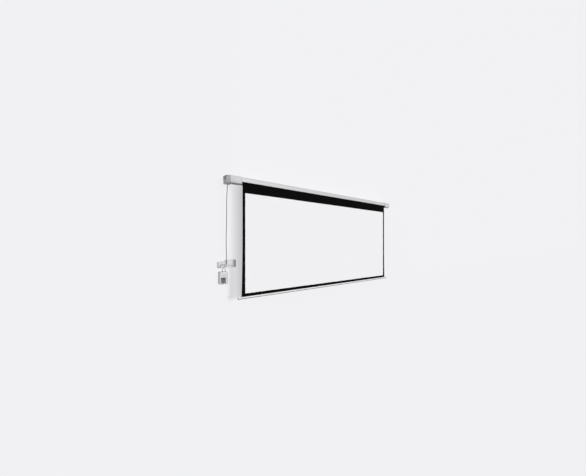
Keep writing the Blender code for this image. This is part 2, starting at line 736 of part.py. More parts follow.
def make_roller(finishes, roller):
    """The roller tube with the turns of fabric that stay on it, and the idler in its right end."""
    length = ROLLER_RIGHT - ROLLER_LEFT
    tube_profile = [(ROLLER_RADIUS, length), (ROLLER_RADIUS, 0), (BORE_RADIUS, 0), (BORE_RADIUS, length)]
    at_left = (ROLLER_LEFT, AXIS_Y, AXIS_Z)
    lathe("roller_tube", tube_profile, finishes["roller"], at_left, parent=roller, steps=40, ring=True)

    steps = round(36 * WRAP_TURNS)
    outer, inner = [], []
    for k in range(steps + 1):
        share = k / steps
        angle = math.pi - 2 * math.pi * WRAP_TURNS * (1 - share)
        radius = WRAP_START + (WRAP_END - WRAP_START) * share
        for side, line in ((0.5, outer), (-0.5, inner)):
            reach = radius + side * FABRIC_THICKNESS
            line.append((reach * math.cos(angle), reach * math.sin(angle)))
    width = 2 * fabric_half_width(AXIS_Z)
    wraps = smooth(flat("fabric_wraps", [outer + inner[::-1]], width))
    add("fabric_wraps", wraps, finishes["wound"], (MIDDLE_X, AXIS_Y, AXIS_Z), ALONG_X, roller)

    bush_outer = PIN_RADIUS + RUN_GAP + BUSH_WALL
    plug_bore = bush_outer + FIT_GAP
    plug_outer = BORE_RADIUS - FIT_GAP
    plug_x = ROLLER_RIGHT + FIT_GAP - PLUG_LENGTH
    flange = PLUG_LENGTH + FLANGE_THICKNESS
    plug_profile = [
        (ROLLER_RADIUS, flange), (ROLLER_RADIUS, PLUG_LENGTH), (plug_outer, PLUG_LENGTH), (plug_outer, 0.002),
        (plug_outer - 0.002, 0), (plug_bore, 0), (plug_bore, flange),
    ]
    lathe("idler_plug", plug_profile, finishes["nylon"], (plug_x, AXIS_Y, AXIS_Z), parent=roller, ring=True)
    bush_bore = PIN_RADIUS + RUN_GAP
    bush_profile = [(bush_outer, BUSH_LENGTH), (bush_outer, 0), (bush_bore, 0), (bush_bore, BUSH_LENGTH)]
    bush_x = plug_x + flange - BUSH_LENGTH
    lathe("idler_bush", bush_profile, finishes["bush"], on_axis(bush_x), parent=roller, steps=24, ring=True)

    collar_x = plug_x + flange + FIT_GAP
    plate_face = MIDDLE_X + (MIDDLE_X - HEAD_LEFT) + FIT_GAP
    collar = plate_face - FIT_GAP - collar_x
    pin_end = collar + FIT_GAP + PLATE_THICKNESS + PIN_REACH
    pin_profile = [
        (0, pin_end), (PIN_RADIUS - 0.001, pin_end), (PIN_RADIUS, pin_end - 0.001), (PIN_RADIUS, collar),
        (COLLAR_RADIUS, collar), (COLLAR_RADIUS, 0), (PIN_RADIUS, 0), (PIN_RADIUS, -BUSH_LENGTH),
        (0, -BUSH_LENGTH),
    ]
    lathe("idler_pin", pin_profile, finishes["steel"], (collar_x, AXIS_Y, AXIS_Z), steps=24)

    pin_hole = circle(PIN_RADIUS + FIT_GAP, (AXIS_Y, AXIS_Z))
    plate_mesh = flat("idler_plate", [in_case(plate_outline()), pin_hole], PLATE_THICKNESS)
    add("idler_plate", plate_mesh, finishes["steel"], (plate_face + PLATE_THICKNESS / 2, 0, 0), ALONG_X)
    clip_x = plate_face + PLATE_THICKNESS + FIT_GAP + CLIP_THICKNESS / 2
    clip = flat("idler_clip", [circle(CLIP_RADIUS), circle(PIN_RADIUS + FIT_GAP)], CLIP_THICKNESS)
    add("idler_clip", clip, finishes["steel"], (clip_x, AXIS_Y, AXIS_Z), ALONG_X)


def bar_section(inset, steps=6):
    """The weight bar's section, an oval with straight sides, moved in by inset, as (depth, height)."""
    radius = BAR_DEPTH / 2 - inset
    straight = BAR_HEIGHT / 2 - BAR_DEPTH / 2
    outline = []
    for centre, start in ((straight, 0), (-straight, math.pi)):
        for k in range(2 * steps + 1):
            angle = start + math.pi * k / (2 * steps)
            outline.append((radius * math.cos(angle), centre + radius * math.sin(angle)))
    return outline


def make_drop(finishes, drop):
    """The fabric and the weight bar that hangs on it."""
    top = AXIS_Z - FIT_GAP
    foot = ROD_Z + ROD_RADIUS + FIT_GAP
    count = 12
    heights = [top] + [BAR_TOP + FLARE_HEIGHT * (count - k) / count for k in range(count + 1)] + [foot]
    right = [(fabric_half_width(z), z) for z in heights]
    sheet = flat("fabric_sheet", [right + [(-u, v) for u, v in right[::-1]]], FABRIC_THICKNESS)
    add("fabric_sheet", sheet, finishes["fabric"], (MIDDLE_X, FABRIC_Y, 0), FACING, drop)

    bar_left = MIDDLE_X - BAR_LENGTH / 2
    slot_edge = math.sqrt((BAR_DEPTH / 2) ** 2 - (BAR_SLOT / 2) ** 2) + BAR_HEIGHT / 2 - BAR_DEPTH / 2
    side = [(u, v) for u, v in bar_section(0) if v > BAR_SPLIT and u > BAR_SLOT]
    side = [(BAR_DEPTH / 2, BAR_SPLIT), *sorted(side, key=lambda point: point[1]), (BAR_SLOT / 2, slot_edge)]
    path = [(-u, v) for u, v in side[::-1]] + side
    tube_length = BAR_LENGTH - 2 * (BAR_CAP_FLANGE + FIT_GAP)
    tube_x = bar_left + BAR_CAP_FLANGE + FIT_GAP
    bar = add("weight_bar", strip("weight_bar", path, tube_length), finishes["bar"],
              (tube_x, FABRIC_Y, BAR_Z), ALONG_X, drop)
    thicken(bar, BAR_WALL, offset=-1.0)

    strip_top = BAR_SPLIT - FIT_GAP
    lower = [point for point in bar_section(0) if point[1] < strip_top]
    lower = sorted(lower, key=lambda point: math.atan2(point[1], point[0]))
    lower = [(-BAR_DEPTH / 2, strip_top), *lower, (BAR_DEPTH / 2, strip_top)]
    add("bar_bumper", flat("bar_bumper", [lower], tube_length), finishes["bumper"],
        (MIDDLE_X, FABRIC_Y, BAR_Z), ALONG_X, drop)

    rod_length = tube_length - 2 * (BAR_CAP_SPIGOT + 2 * FIT_GAP)
    add("bar_rod", rod("bar_rod", ROD_RADIUS, rod_length, 16), finishes["steel"],
        (MIDDLE_X, FABRIC_Y, ROD_Z), ALONG_X, drop)
    for side, sign in (("left", -1), ("right", 1)):
        end_x = MIDDLE_X + sign * (BAR_LENGTH / 2 - BAR_CAP_FLANGE / 2)
        flange = flat("bar_cap_" + side, [bar_section(0)], BAR_CAP_FLANGE)
        cap = add("bar_cap_" + side, flange, finishes["bar_cap"], (end_x, FABRIC_Y, BAR_Z), ALONG_X, drop)
        hollow = BAR_WALL + FIT_GAP
        spigot_section = [(u, max(v, BAR_SPLIT + hollow)) for u, v in bar_section(hollow) if v > BAR_SPLIT]
        spigot_mesh = flat("bar_spigot_" + side, [spigot_section], BAR_CAP_SPIGOT + BAR_CAP_FLANGE / 2)
        spigot_x = end_x - sign * (BAR_CAP_SPIGOT + BAR_CAP_FLANGE / 2) / 2
        spigot = tool("bar_spigot_" + side, spigot_mesh, (spigot_x, FABRIC_Y, BAR_Z), ALONG_X)
        boolean(cap, spigot, "UNION")


def make_brackets(finishes):
    """The two wall brackets, their wall bolts and the screws through their feet."""
    cap_back = -STAND_OFF + CAP_GROW
    foot_top = CASE_TOP + TOP_RISE + CAP_GROW + FIT_GAP + BRACKET_WALL
    step = -ARM_REACH - ARM_STEP
    path = rounded([
        (cap_back + FIT_GAP, -BRACKET_FOOT + BACK_FLANGE),
        (cap_back + FIT_GAP, -BRACKET_FOOT),
        (0, -BRACKET_FOOT),
        (0, BRACKET_TOP),
        (-ARM_REACH, BRACKET_TOP),
        (step, foot_top),
        (step - FOOT_LENGTH, foot_top),
    ], BRACKET_BEND, closed=False)
    screw_y = step - FOOT_LENGTH * 0.6
    shank = BRACKET_WALL + CAP_GROW + CASE_WALL + 4 * FIT_GAP
    foot_screw = screw_profile(FOOT_SCREW_HEAD, FOOT_SCREW_HEAD * 0.6, FOOT_SCREW_RADIUS, shank)
    for side, x in (("left", 0.0), ("right", SCREEN_LENGTH - 2 * BRACKET_INSET)):
        mesh = strip("wall_bracket_" + side, path, BRACKET_WIDTH)
        start = (x - BRACKET_WIDTH / 2, 0, 0)
        bracket = add("wall_bracket_" + side, mesh, finishes["bracket"], start, ALONG_X)
        thicken(bracket, BRACKET_WALL, offset=-1.0)
        for level, bolt_z in (("upper", WALL_BOLT_HIGH), ("lower", WALL_BOLT_LOW)):
            name = f"wall_bolt_{side}_{level}"
            bolt_at = (x, -BRACKET_WALL - FIT_GAP, bolt_z)
            bolt = lathe(name, [
                (0, WASHER_THICKNESS), (WALL_BOLT_WASHER, WASHER_THICKNESS), (WALL_BOLT_WASHER, 0),
                (WALL_BOLT_RADIUS, 0), (WALL_BOLT_RADIUS, -BRACKET_WALL - FIT_GAP),
                (0, -BRACKET_WALL - FIT_GAP),
            ], finishes["dark_steel"], bolt_at, FACING, steps=24)
            head_mesh = flat(name + "_head", [circle(WALL_BOLT_HEAD, steps=6)], WALL_BOLT_HEAD)
            head_at = (x, bolt_at[1] - (WASHER_THICKNESS + WALL_BOLT_HEAD) / 2, bolt_z)
            boolean(bolt, tool(name + "_head", head_mesh, head_at, FACING), "UNION")
            hole_mesh = rod(name + "_hole", WALL_BOLT_RADIUS + FIT_GAP, 4 * BRACKET_WALL, 16)
            boolean(bracket, tool(name + "_hole", hole_mesh, (x, 0, bolt_z), FACING))
        screw_at = (x, screw_y, foot_top + FIT_GAP)
        lathe("bracket_screw_" + side, foot_screw, finishes["steel"], screw_at, UP, steps=16)
        drill_mesh = rod("foot_hole_" + side, FOOT_SCREW_RADIUS + FIT_GAP, 10 * BRACKET_WALL, 16)
        drill = tool("foot_hole_" + side, drill_mesh, screw_at)
        for holder in (bracket, bpy.data.objects["end_cap_" + side], bpy.data.objects["case_shell"]):
            boolean(holder, drill)


def make_cord(finishes):
    """The gland under the left end cap and the cord that hangs from it to the junction."""
    profile = [
        (0, GLAND_SHANK), (GLAND_THROAT, GLAND_SHANK), (GLAND_THROAT, 0), (GLAND_RADIUS, 0), (GLAND_RADIUS, -0.003),
        (GLAND_RADIUS * 0.8, -0.0045), (CORD_DIAMETER / 2 + 0.0008, -GLAND_LENGTH), (0, -GLAND_LENGTH),
    ]
    lathe("cord_gland", profile, finishes["gland"], (GLAND_X, GLAND_Y, GLAND_TOP), UP, steps=24)
    route = [
        (GLAND_X, GLAND_Y, GLAND_END - FIT_GAP),
        (GLAND_X - 0.0005, GLAND_Y, GLAND_END - 0.022),
        (-0.0142, -0.0620, -0.163),
        (-0.0150, -0.0596, -0.242),
        (-0.0146, -0.0573, -0.321),
        (-0.0142, -0.0550, -0.400),
        (-0.0150, -0.0526, -0.479),
        (-0.0164, -0.0505, -0.550),
        (-0.0165, -0.0490, -0.610),
        (-0.0142, -0.0463, -0.697),
        (-0.0117, -0.0445, -0.760),
        (CORD_ENTRY_X + 0.0005, CORD_Y, HUB_COLLAR_TOP + 0.022),
        (CORD_ENTRY_X, CORD_Y, HUB_COLLAR_TOP + 0.010),
        (CORD_ENTRY_X, CORD_Y, HUB_COLLAR_TOP + FIT_GAP),
    ]
    tube("power_cord", smooth_route(route, 0.0155), CORD_DIAMETER, finishes["cord"])


def make_receiver(finishes):
    """The receiver box on the wall: base, cover and board."""
    outline = rounded(rectangle(RECEIVER_WIDTH, RECEIVER_HEIGHT), RECEIVER_CORNER)
    base_mesh = open_box("receiver_base", outline, RECEIVER_BASE_DEPTH)
    base = add("receiver_base", base_mesh, finishes["housing"], (RECEIVER_X, 0, RECEIVER_Z), FACING)
    thicken(base, RECEIVER_WALL)
    cover_depth = RECEIVER_DEPTH - RECEIVER_BASE_DEPTH - FIT_GAP
    cover_mesh = open_box("receiver_cover", outline, cover_depth, closed="high")
    cover_at = (RECEIVER_X, -RECEIVER_BASE_DEPTH - FIT_GAP, RECEIVER_Z)
    cover = add("receiver_cover", cover_mesh, finishes["housing"], cover_at, FACING)
    soften(cover, 0.0018)
    thicken(cover, RECEIVER_WALL)
    groove_mesh = block("receiver_groove", (GROOVE_LENGTH, 2 * GROOVE_CUT, GROOVE_HEIGHT))
    groove_at = (RECEIVER_GROOVE_X, -RECEIVER_DEPTH, RECEIVER_GROOVE_Z)
    boolean(cover, tool("receiver_groove", groove_mesh, groove_at))

    inset = 2 * (RECEIVER_WALL + FIT_GAP) + BOARD_MARGIN
    board_y = -RECEIVER_WALL - FIT_GAP - BOARD_THICKNESS / 2
    board_outline = rectangle(RECEIVER_WIDTH - inset, RECEIVER_HEIGHT - inset)
    add("circuit_board", flat("circuit_board", [board_outline], BOARD_THICKNESS), finishes["board"],
        (RECEIVER_X, board_y, RECEIVER_Z), FACING)


def make_junction(finishes):
    """The box left of the receiver and the round junction on it, where the cord and the leads meet."""
    right, foot = RECEIVER_LEFT - FIT_GAP, JUNCTION_TOP - JUNCTION_HEIGHT
    left, top = JUNCTION_LEFT, JUNCTION_TOP
    wide = rounded([(left, foot), (right, foot), (right, top), (left, top)], JUNCTION_CORNER)
    low, high, near = foot + JUNCTION_TAPER, top - JUNCTION_TAPER, left + JUNCTION_TAPER
    narrow = rounded([(near, low), (right, low), (right, high), (near, high)], JUNCTION_CORNER)
    mesh = open_box("junction_box", wide, RECEIVER_DEPTH, "high", narrow, JUNCTION_SKIRT)
    box = add("junction_box", mesh, finishes["housing"], turn=FACING)
    thicken(box, RECEIVER_WALL)

    hub_back = -RECEIVER_DEPTH - FIT_GAP
    rim = HUB_DEPTH
    seat = HUB_RADIUS - HUB_WALL
    hub_profile = [
        (0, rim - HUB_POCKET), (seat, rim - HUB_POCKET), (seat, rim), (HUB_RADIUS - 0.001, rim),
        (HUB_RADIUS, rim - 0.001),
        (HUB_RADIUS, 0), (0, 0),
    ]
    hub = lathe("junction_hub", hub_profile, finishes["hub"], (HUB_X, hub_back, HUB_Z), FACING, steps=40)
    lead_collar = LEAD_DIAMETER / 2 + 0.0012
    collars = {
        "cord": (CORD_ENTRY_X, HUB_COLLAR_TOP, HUB_COLLAR_FOOT, HUB_COLLAR),
        "left": (LEAD_LEFT_X, HUB_Z - 0.35 * seat, LEAD_TOP, lead_collar),
        "right": (LEAD_RIGHT_X, HUB_Z - 0.35 * seat, LEAD_TOP, lead_collar),
    }
    for name, (x, high, low, radius) in collars.items():
        mesh = rod("collar_" + name, radius, high - low)
        boolean(hub, tool("collar_" + name, mesh, (x, CORD_Y, (high + low) / 2)), "UNION")
    neck_start = HUB_X + seat * 0.6
    neck_height = (HUB_COLLAR_TOP - HUB_COLLAR_FOOT) * 0.7
    neck_mesh = block("collar_neck", (CORD_ENTRY_X - neck_start, HUB_COLLAR * 1.4, neck_height))
    neck_at = ((CORD_ENTRY_X + neck_start) / 2, CORD_Y, (HUB_COLLAR_TOP + HUB_COLLAR_FOOT) / 2)
    boolean(hub, tool("collar_neck", neck_mesh, neck_at), "UNION")

    cap_radius = seat - FIT_GAP
    cap_profile = [
        (0, 0.0042), (cap_radius * 0.3, 0.0042), (cap_radius * 0.34, 0.0032), (cap_radius * 0.7, 0.0032),
        (cap_radius * 0.74, 0.0043), (cap_radius - 0.001, 0.0043), (cap_radius, 0.0033),
        (cap_radius, 0), (0, 0),
    ]
    cap_at = (HUB_X, hub_back - rim + HUB_POCKET - FIT_GAP, HUB_Z)
    lathe("junction_cap", cap_profile, finishes["housing"], cap_at, FACING, steps=40)


def make_leads(finishes):
    """The two leads from the junction down into the switch box."""
    high, low = LEAD_TOP - FIT_GAP, SWITCH_TOP - SWITCH_BOX_MARGIN + FIT_GAP
    for name, x, bow in (("lead_left", LEAD_LEFT_X, -0.0012), ("lead_right", LEAD_RIGHT_X, 0.0012)):
        route = [
            (x, CORD_Y, high),
            (x, CORD_Y, high - 0.006),
            (x + bow, CORD_Y + 0.002, (high + low) / 2),
            (x, CORD_Y + 0.004, low + 0.006),
            (x, CORD_Y + 0.004, low),
        ]
        tube(name, smooth_route(route, 0.006), LEAD_DIAMETER, finishes["cord"])


def make_switch(finishes, key_guides):
    """The wall switch: back box, plate, key frame, two rocker keys and the plate's screws."""
    corner = SWITCH_CORNER
    box_width = SWITCH_WIDTH - 2 * SWITCH_BOX_MARGIN
    box_height = SWITCH_HEIGHT - 2 * SWITCH_BOX_MARGIN
    box_depth = SWITCH_DEPTH - SWITCH_PLATE_DEPTH - FIT_GAP
    box_mesh = open_box("switch_back_box", rounded(rectangle(box_width, box_height), corner), box_depth)
    box = add("switch_back_box", box_mesh, finishes["housing"], (SWITCH_X, 0, SWITCH_Z), FACING)
    thicken(box, SWITCH_WALL)

    keys_at = (KEYS_X - SWITCH_X, KEYS_Z - SWITCH_Z)
    windows = []
    for sign in (-1, 1):
        centre = (keys_at[0] + sign * KEY_PITCH / 2, keys_at[1])
        windows.append(rectangle(KEY_WIDTH + 2 * KEY_SIDE_GAP, KEY_HEIGHT + 2 * KEY_END_GAP, centre))
    plate_outline_points = rounded(rectangle(SWITCH_WIDTH, SWITCH_HEIGHT), corner)
    plate_mesh = flat("switch_plate", [plate_outline_points, *windows], SWITCH_PLATE_DEPTH)
    plate_at = (SWITCH_X, -SWITCH_DEPTH + SWITCH_PLATE_DEPTH / 2, SWITCH_Z)
    plate = add("switch_plate", plate_mesh, finishes["plate"], plate_at, FACING)
    soften(plate, 0.0012, angle=60)
    groove_mesh = block("plate_groove", (GROOVE_LENGTH, 2 * GROOVE_CUT, GROOVE_HEIGHT))
    groove_at = (SWITCH_X, -SWITCH_DEPTH, SWITCH_TOP - PLATE_GROOVE_DROP)
    boolean(plate, tool("plate_groove", groove_mesh, groove_at))

    module_width = 2 * KEY_PITCH - KEY_BAR + 2 * MODULE_RIM
    module_height = KEY_HEIGHT + 2 * KEY_END_GAP + 2 * MODULE_RIM
    module_outline = rectangle(module_width, module_height, keys_at)
    module_mesh = flat("switch_module", [module_outline, *windows], MODULE_THICKNESS)
    module_y = -SWITCH_DEPTH + SWITCH_PLATE_DEPTH + FIT_GAP + MODULE_THICKNESS / 2
    module = add("switch_module", module_mesh, finishes["nylon"], (SWITCH_X, module_y, SWITCH_Z), FACING)
    axle_length = KEY_PITCH + KEY_WIDTH + 2 * (KEY_SIDE_GAP + TRUNNION_REACH + FIT_GAP)
    axle_mesh = rod("trunnion_bore", TRUNNION_RADIUS + FIT_GAP, axle_length, 16)
    boolean(module, tool("trunnion_bore", axle_mesh, (KEYS_X, PIVOT_Y, KEYS_Z), ALONG_X))

    front = -KEY_PIVOT_DEPTH - KEY_PROUD
    half = KEY_HEIGHT / 2
    count = 8
    face = []
    for k in range(count + 1):
        v = half * (2 * k / count - 1)
        face.append((front + KEY_DISH * (1 - (v / half) ** 2), v))
    back = front + KEY_THICKNESS
    rear = [(back, half), (back, 0.008), (0.0025, 0.0028), (0.0025, -0.0028), (back, -0.008), (back, -half)]
    profile = face + rear
    for side, sign in (("left", -1), ("right", 1)):
        name = "rocker_key_" + side
        x = KEYS_X + sign * KEY_PITCH / 2
        key = add(name, flat(name, [profile], KEY_WIDTH), finishes["key"], (x, PIVOT_Y, KEYS_Z), ALONG_X,
                  key_guides[side])
        soften(key, 0.0006, angle=50)
        pin_length = KEY_WIDTH + 2 * (KEY_SIDE_GAP + TRUNNION_REACH)
        pin_mesh = rod("trunnion_" + side, TRUNNION_RADIUS, pin_length, 16)
        boolean(key, tool("trunnion_" + side, pin_mesh, (x, PIVOT_Y, KEYS_Z), ALONG_X), "UNION")

    shank = SWITCH_PLATE_DEPTH + FIT_GAP
    screw = screw_profile(PLATE_SCREW_HEAD, PLATE_SCREW_HEAD * 0.5, PLATE_SCREW_RADIUS, shank)
    for level, sign in (("upper", 1), ("lower", -1)):
        z = SWITCH_Z + sign * (SWITCH_HEIGHT / 2 - PLATE_SCREW_INSET)
        screw_at = (SWITCH_X, -SWITCH_DEPTH - FIT_GAP, z)
        lathe("plate_screw_" + level, screw, finishes["steel"], screw_at, FACING, steps=16)
        hole_mesh = rod("plate_hole_" + level, PLATE_SCREW_RADIUS + FIT_GAP, 4 * SWITCH_PLATE_DEPTH, 16)
        boolean(plate, tool("plate_hole_" + level, hole_mesh, screw_at, FACING))


def main():
    """Builds the screen."""
    clear_scene()
    finishes = make_materials()
    roller = guide("roller_axis", (MIDDLE_X, AXIS_Y, AXIS_Z))
    drop = guide("drop_guide", (MIDDLE_X, FABRIC_Y, BAR_Z))
    key_guides = {
        side: guide(f"key_{side}_pivot", (KEYS_X + sign * KEY_PITCH / 2, PIVOT_Y, KEYS_Z))
        for side, sign in (("left", -1), ("right", 1))
    }
    make_case(finishes)
    make_motor(finishes, roller)
    make_roller(finishes, roller)
    make_drop(finishes, drop)
    make_brackets(finishes)
    make_cord(finishes)
    make_receiver(finishes)
    make_junction(finishes)
    make_leads(finishes)
    make_switch(finishes, key_guides)


main()
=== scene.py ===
"""The looks of a motorised wall projector screen, lowered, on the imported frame.

Metres and degrees. The wall is the plane Y = 0, the screen faces -Y, X runs along the case and Z is up.
"""

from __future__ import annotations

import json
import logging
import math
from collections.abc import Sequence
from dataclasses import dataclass, field
from enum import Enum

import bmesh
import bpy
from mathutils import Matrix, Vector

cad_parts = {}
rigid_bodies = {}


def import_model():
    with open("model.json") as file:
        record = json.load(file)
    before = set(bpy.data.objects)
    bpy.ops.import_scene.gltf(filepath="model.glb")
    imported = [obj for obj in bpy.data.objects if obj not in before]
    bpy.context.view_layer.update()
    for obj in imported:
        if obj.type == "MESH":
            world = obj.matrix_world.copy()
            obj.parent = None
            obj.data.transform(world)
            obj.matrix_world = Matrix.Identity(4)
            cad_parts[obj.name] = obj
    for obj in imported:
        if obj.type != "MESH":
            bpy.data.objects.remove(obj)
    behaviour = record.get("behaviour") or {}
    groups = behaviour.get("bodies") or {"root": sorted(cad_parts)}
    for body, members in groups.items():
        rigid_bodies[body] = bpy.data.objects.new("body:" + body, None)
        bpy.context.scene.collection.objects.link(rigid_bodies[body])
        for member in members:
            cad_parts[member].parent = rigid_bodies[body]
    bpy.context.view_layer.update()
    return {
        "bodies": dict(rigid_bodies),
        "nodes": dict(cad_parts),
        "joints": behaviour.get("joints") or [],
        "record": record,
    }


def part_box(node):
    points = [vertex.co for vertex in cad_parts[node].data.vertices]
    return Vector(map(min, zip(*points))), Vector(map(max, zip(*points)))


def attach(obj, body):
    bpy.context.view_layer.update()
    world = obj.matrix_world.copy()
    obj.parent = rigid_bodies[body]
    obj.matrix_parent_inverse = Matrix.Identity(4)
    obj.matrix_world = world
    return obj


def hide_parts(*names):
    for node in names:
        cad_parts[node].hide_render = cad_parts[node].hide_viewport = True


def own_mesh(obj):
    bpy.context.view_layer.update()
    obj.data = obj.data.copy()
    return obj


log = logging.getLogger("projector_screen")

Point = tuple[float, float, float]
Pair = tuple[float, float]
Colour = tuple[float, float, float]
Tree = bpy.types.NodeTree
Node = bpy.types.Node
Socket = bpy.types.NodeSocket
Object = bpy.types.Object

PHOTO_WIDTH = 586
PHOTO_HEIGHT = 476
PER_METRE = "Features per metre"
# The grey of the veil on upward faces: dust where thin, painted shade where heavy.
DUST_AND_SHADE_COLOUR = (0.425, 0.424, 0.418, 1)
WELD = 0.00001
SCREW_STEPS = 32

# Edges over the first three angles are shaded sharp, and softened() rounds those over the last.
SMOOTH_ANGLE = 35.0
HARD_ANGLE = 30.0
HEAD_ANGLE = 50.0
BEVEL_ANGLE = 40.0


class Body(Enum):
    """The bodies that the new pieces ride on."""

    SCREEN = "screen"
    DROP = "drop"


class Grain(Enum):
    """The kind of fine relief that a finish has."""

    ENAMEL = "enamel"
    MOULDED = "moulded"
    BRUSHED = "brushed"
    CAST = "cast"
    WEAVE = "weave"
    SHEATH = "sheath"


class Carving(Enum):
    """What a tool does to the piece that it carves."""

    CUT = "DIFFERENCE"
    KEEP = "INTERSECT"


class Layer(Enum):
    """The fabric's material slots."""

    PICTURE = 0
    BORDER = 1
    BACKING = 2


class Turn(Enum):
    """How a shape lies: where its own X, Y and Z point in the world."""

    UP = ((1, 0, 0), (0, 1, 0), (0, 0, 1))
    ALONG_X = ((0, 1, 0), (0, 0, 1), (1, 0, 0))
    FACING = ((1, 0, 0), (0, 0, 1), (0, -1, 0))

    def matrix(self, at: Sequence[float]) -> Matrix:
        """The matrix that lays a shape this way at a point.

        Args:
            at: Where the shape's own origin goes.

        Returns:
            The shape's world matrix.
        """
        matrix = Matrix(self.value).transposed().to_4x4()
        matrix.translation = Vector(at)
        return matrix


PIT_SHARPNESS = {Grain.ENAMEL: 0.15, Grain.CAST: 1.0, Grain.MOULDED: 0.5, Grain.SHEATH: 0.3}


# Node groups


def new_group(name: str, inputs: dict[str, float | None], outputs: Sequence[str]) -> tuple[Tree, Node, Node]:
    """An empty shader node group with named sockets.

    Args:
        name: The group's name.
        inputs: Each input's default, or None for a colour.
        outputs: The outputs' names. Colour is a colour and the rest are numbers.

    Returns:
        The group, its input node and its output node.
    """
    tree = bpy.data.node_groups.new(name, "ShaderNodeTree")
    kinds = {True: "NodeSocketColor", False: "NodeSocketFloat"}
    for socket, default in inputs.items():
        made = tree.interface.new_socket(name=socket, in_out="INPUT", socket_type=kinds[default is None])
        if default is not None:
            made.default_value = default
    for socket in outputs:
        tree.interface.new_socket(name=socket, in_out="OUTPUT", socket_type=kinds[socket == "Colour"])
    return tree, tree.nodes.new("NodeGroupInput"), tree.nodes.new("NodeGroupOutput")


def feed(tree: Tree, node: Node, inputs: dict[str | int, object]) -> None:
    """Sets a node's inputs to values, or links other nodes' outputs to them.

    Args:
        tree: The node tree.
        node: The node.
        inputs: A value or an output for each input, by its name or place.
    """
    for name, value in inputs.items():
        if isinstance(value, Socket):
            tree.links.new(value, node.inputs[name])
        else:
            node.inputs[name].default_value = value


def add_node(tree: Tree, kind: str, inputs: dict[str | int, object], **settings: object) -> Node:
    """A new node, set up and fed.

    Args:
        tree: The node tree.
        kind: The node's type.
        inputs: A value or an output for each input, by its name or place.
        settings: The node's other settings.

    Returns:
        The node.
    """
    node = tree.nodes.new(kind)
    for name, value in settings.items():
        setattr(node, name, value)
    feed(tree, node, inputs)
    return node


def math_node(tree: Tree, operation: str, *values: float | Socket) -> Socket:
    """A Math node's result.

    Args:
        tree: The node tree.
        operation: The node's operation.
        values: A number or a socket for each input.

    Returns:
        The node's output.
    """
    return add_node(tree, "ShaderNodeMath", dict(enumerate(values)), operation=operation).outputs[0]


def ramp(tree: Tree, value: Socket, span: Pair, result: Pair, course: str = "LINEAR") -> Socket:
    """A value mapped from one span to another, and clamped.

    Args:
        tree: The node tree.
        value: The value's socket.
        span: The values where the result starts and ends.
        result: What it is there.
        course: The node's interpolation between them.

    Returns:
        The result's socket.
    """
    ends = (*sorted(span), *(result[::-1] if span[0] > span[1] else result))
    inputs = {"Value": value, **dict(zip(("From Min", "From Max", "To Min", "To Max"), ends))}
    return add_node(tree, "ShaderNodeMapRange", inputs, interpolation_type=course).outputs["Result"]


def parted(tree: Tree, vector: Socket) -> dict[str, Socket]:
    """A vector's X, Y and Z as sockets."""
    node = add_node(tree, "ShaderNodeSeparateXYZ", {0: vector})
    return {axis: node.outputs[axis] for axis in "XYZ"}


def scaled(tree: Tree, colour: Socket, gain: Socket) -> Socket:
    """A colour times a number.

    Args:
        tree: The node tree.
        colour: The colour's socket.
        gain: The number's socket.

    Returns:
        The result's socket.
    """
    return add_node(tree, "ShaderNodeVectorMath", {0: colour, "Scale": gain}, operation="SCALE").outputs[0]


def object_noise(tree: Tree, scale: float | Socket, detail: float, stretch: Point = (1, 1, 1)) -> Socket:
    """Noise in the piece's own metres.

    Args:
        tree: The node tree.
        scale: Features for each metre.
        detail: The octaves.
        stretch: How much the space is scaled along each axis first.

    Returns:
        The noise's factor.
    """
    place = tree.nodes.new("ShaderNodeTexCoord").outputs["Object"]
    mapped = add_node(tree, "ShaderNodeMapping", {"Vector": place, "Scale": stretch}).outputs[0]
    inputs = {"Vector": mapped, "Scale": scale, "Detail": detail}
    return add_node(tree, "ShaderNodeTexNoise", inputs).outputs["Fac"]


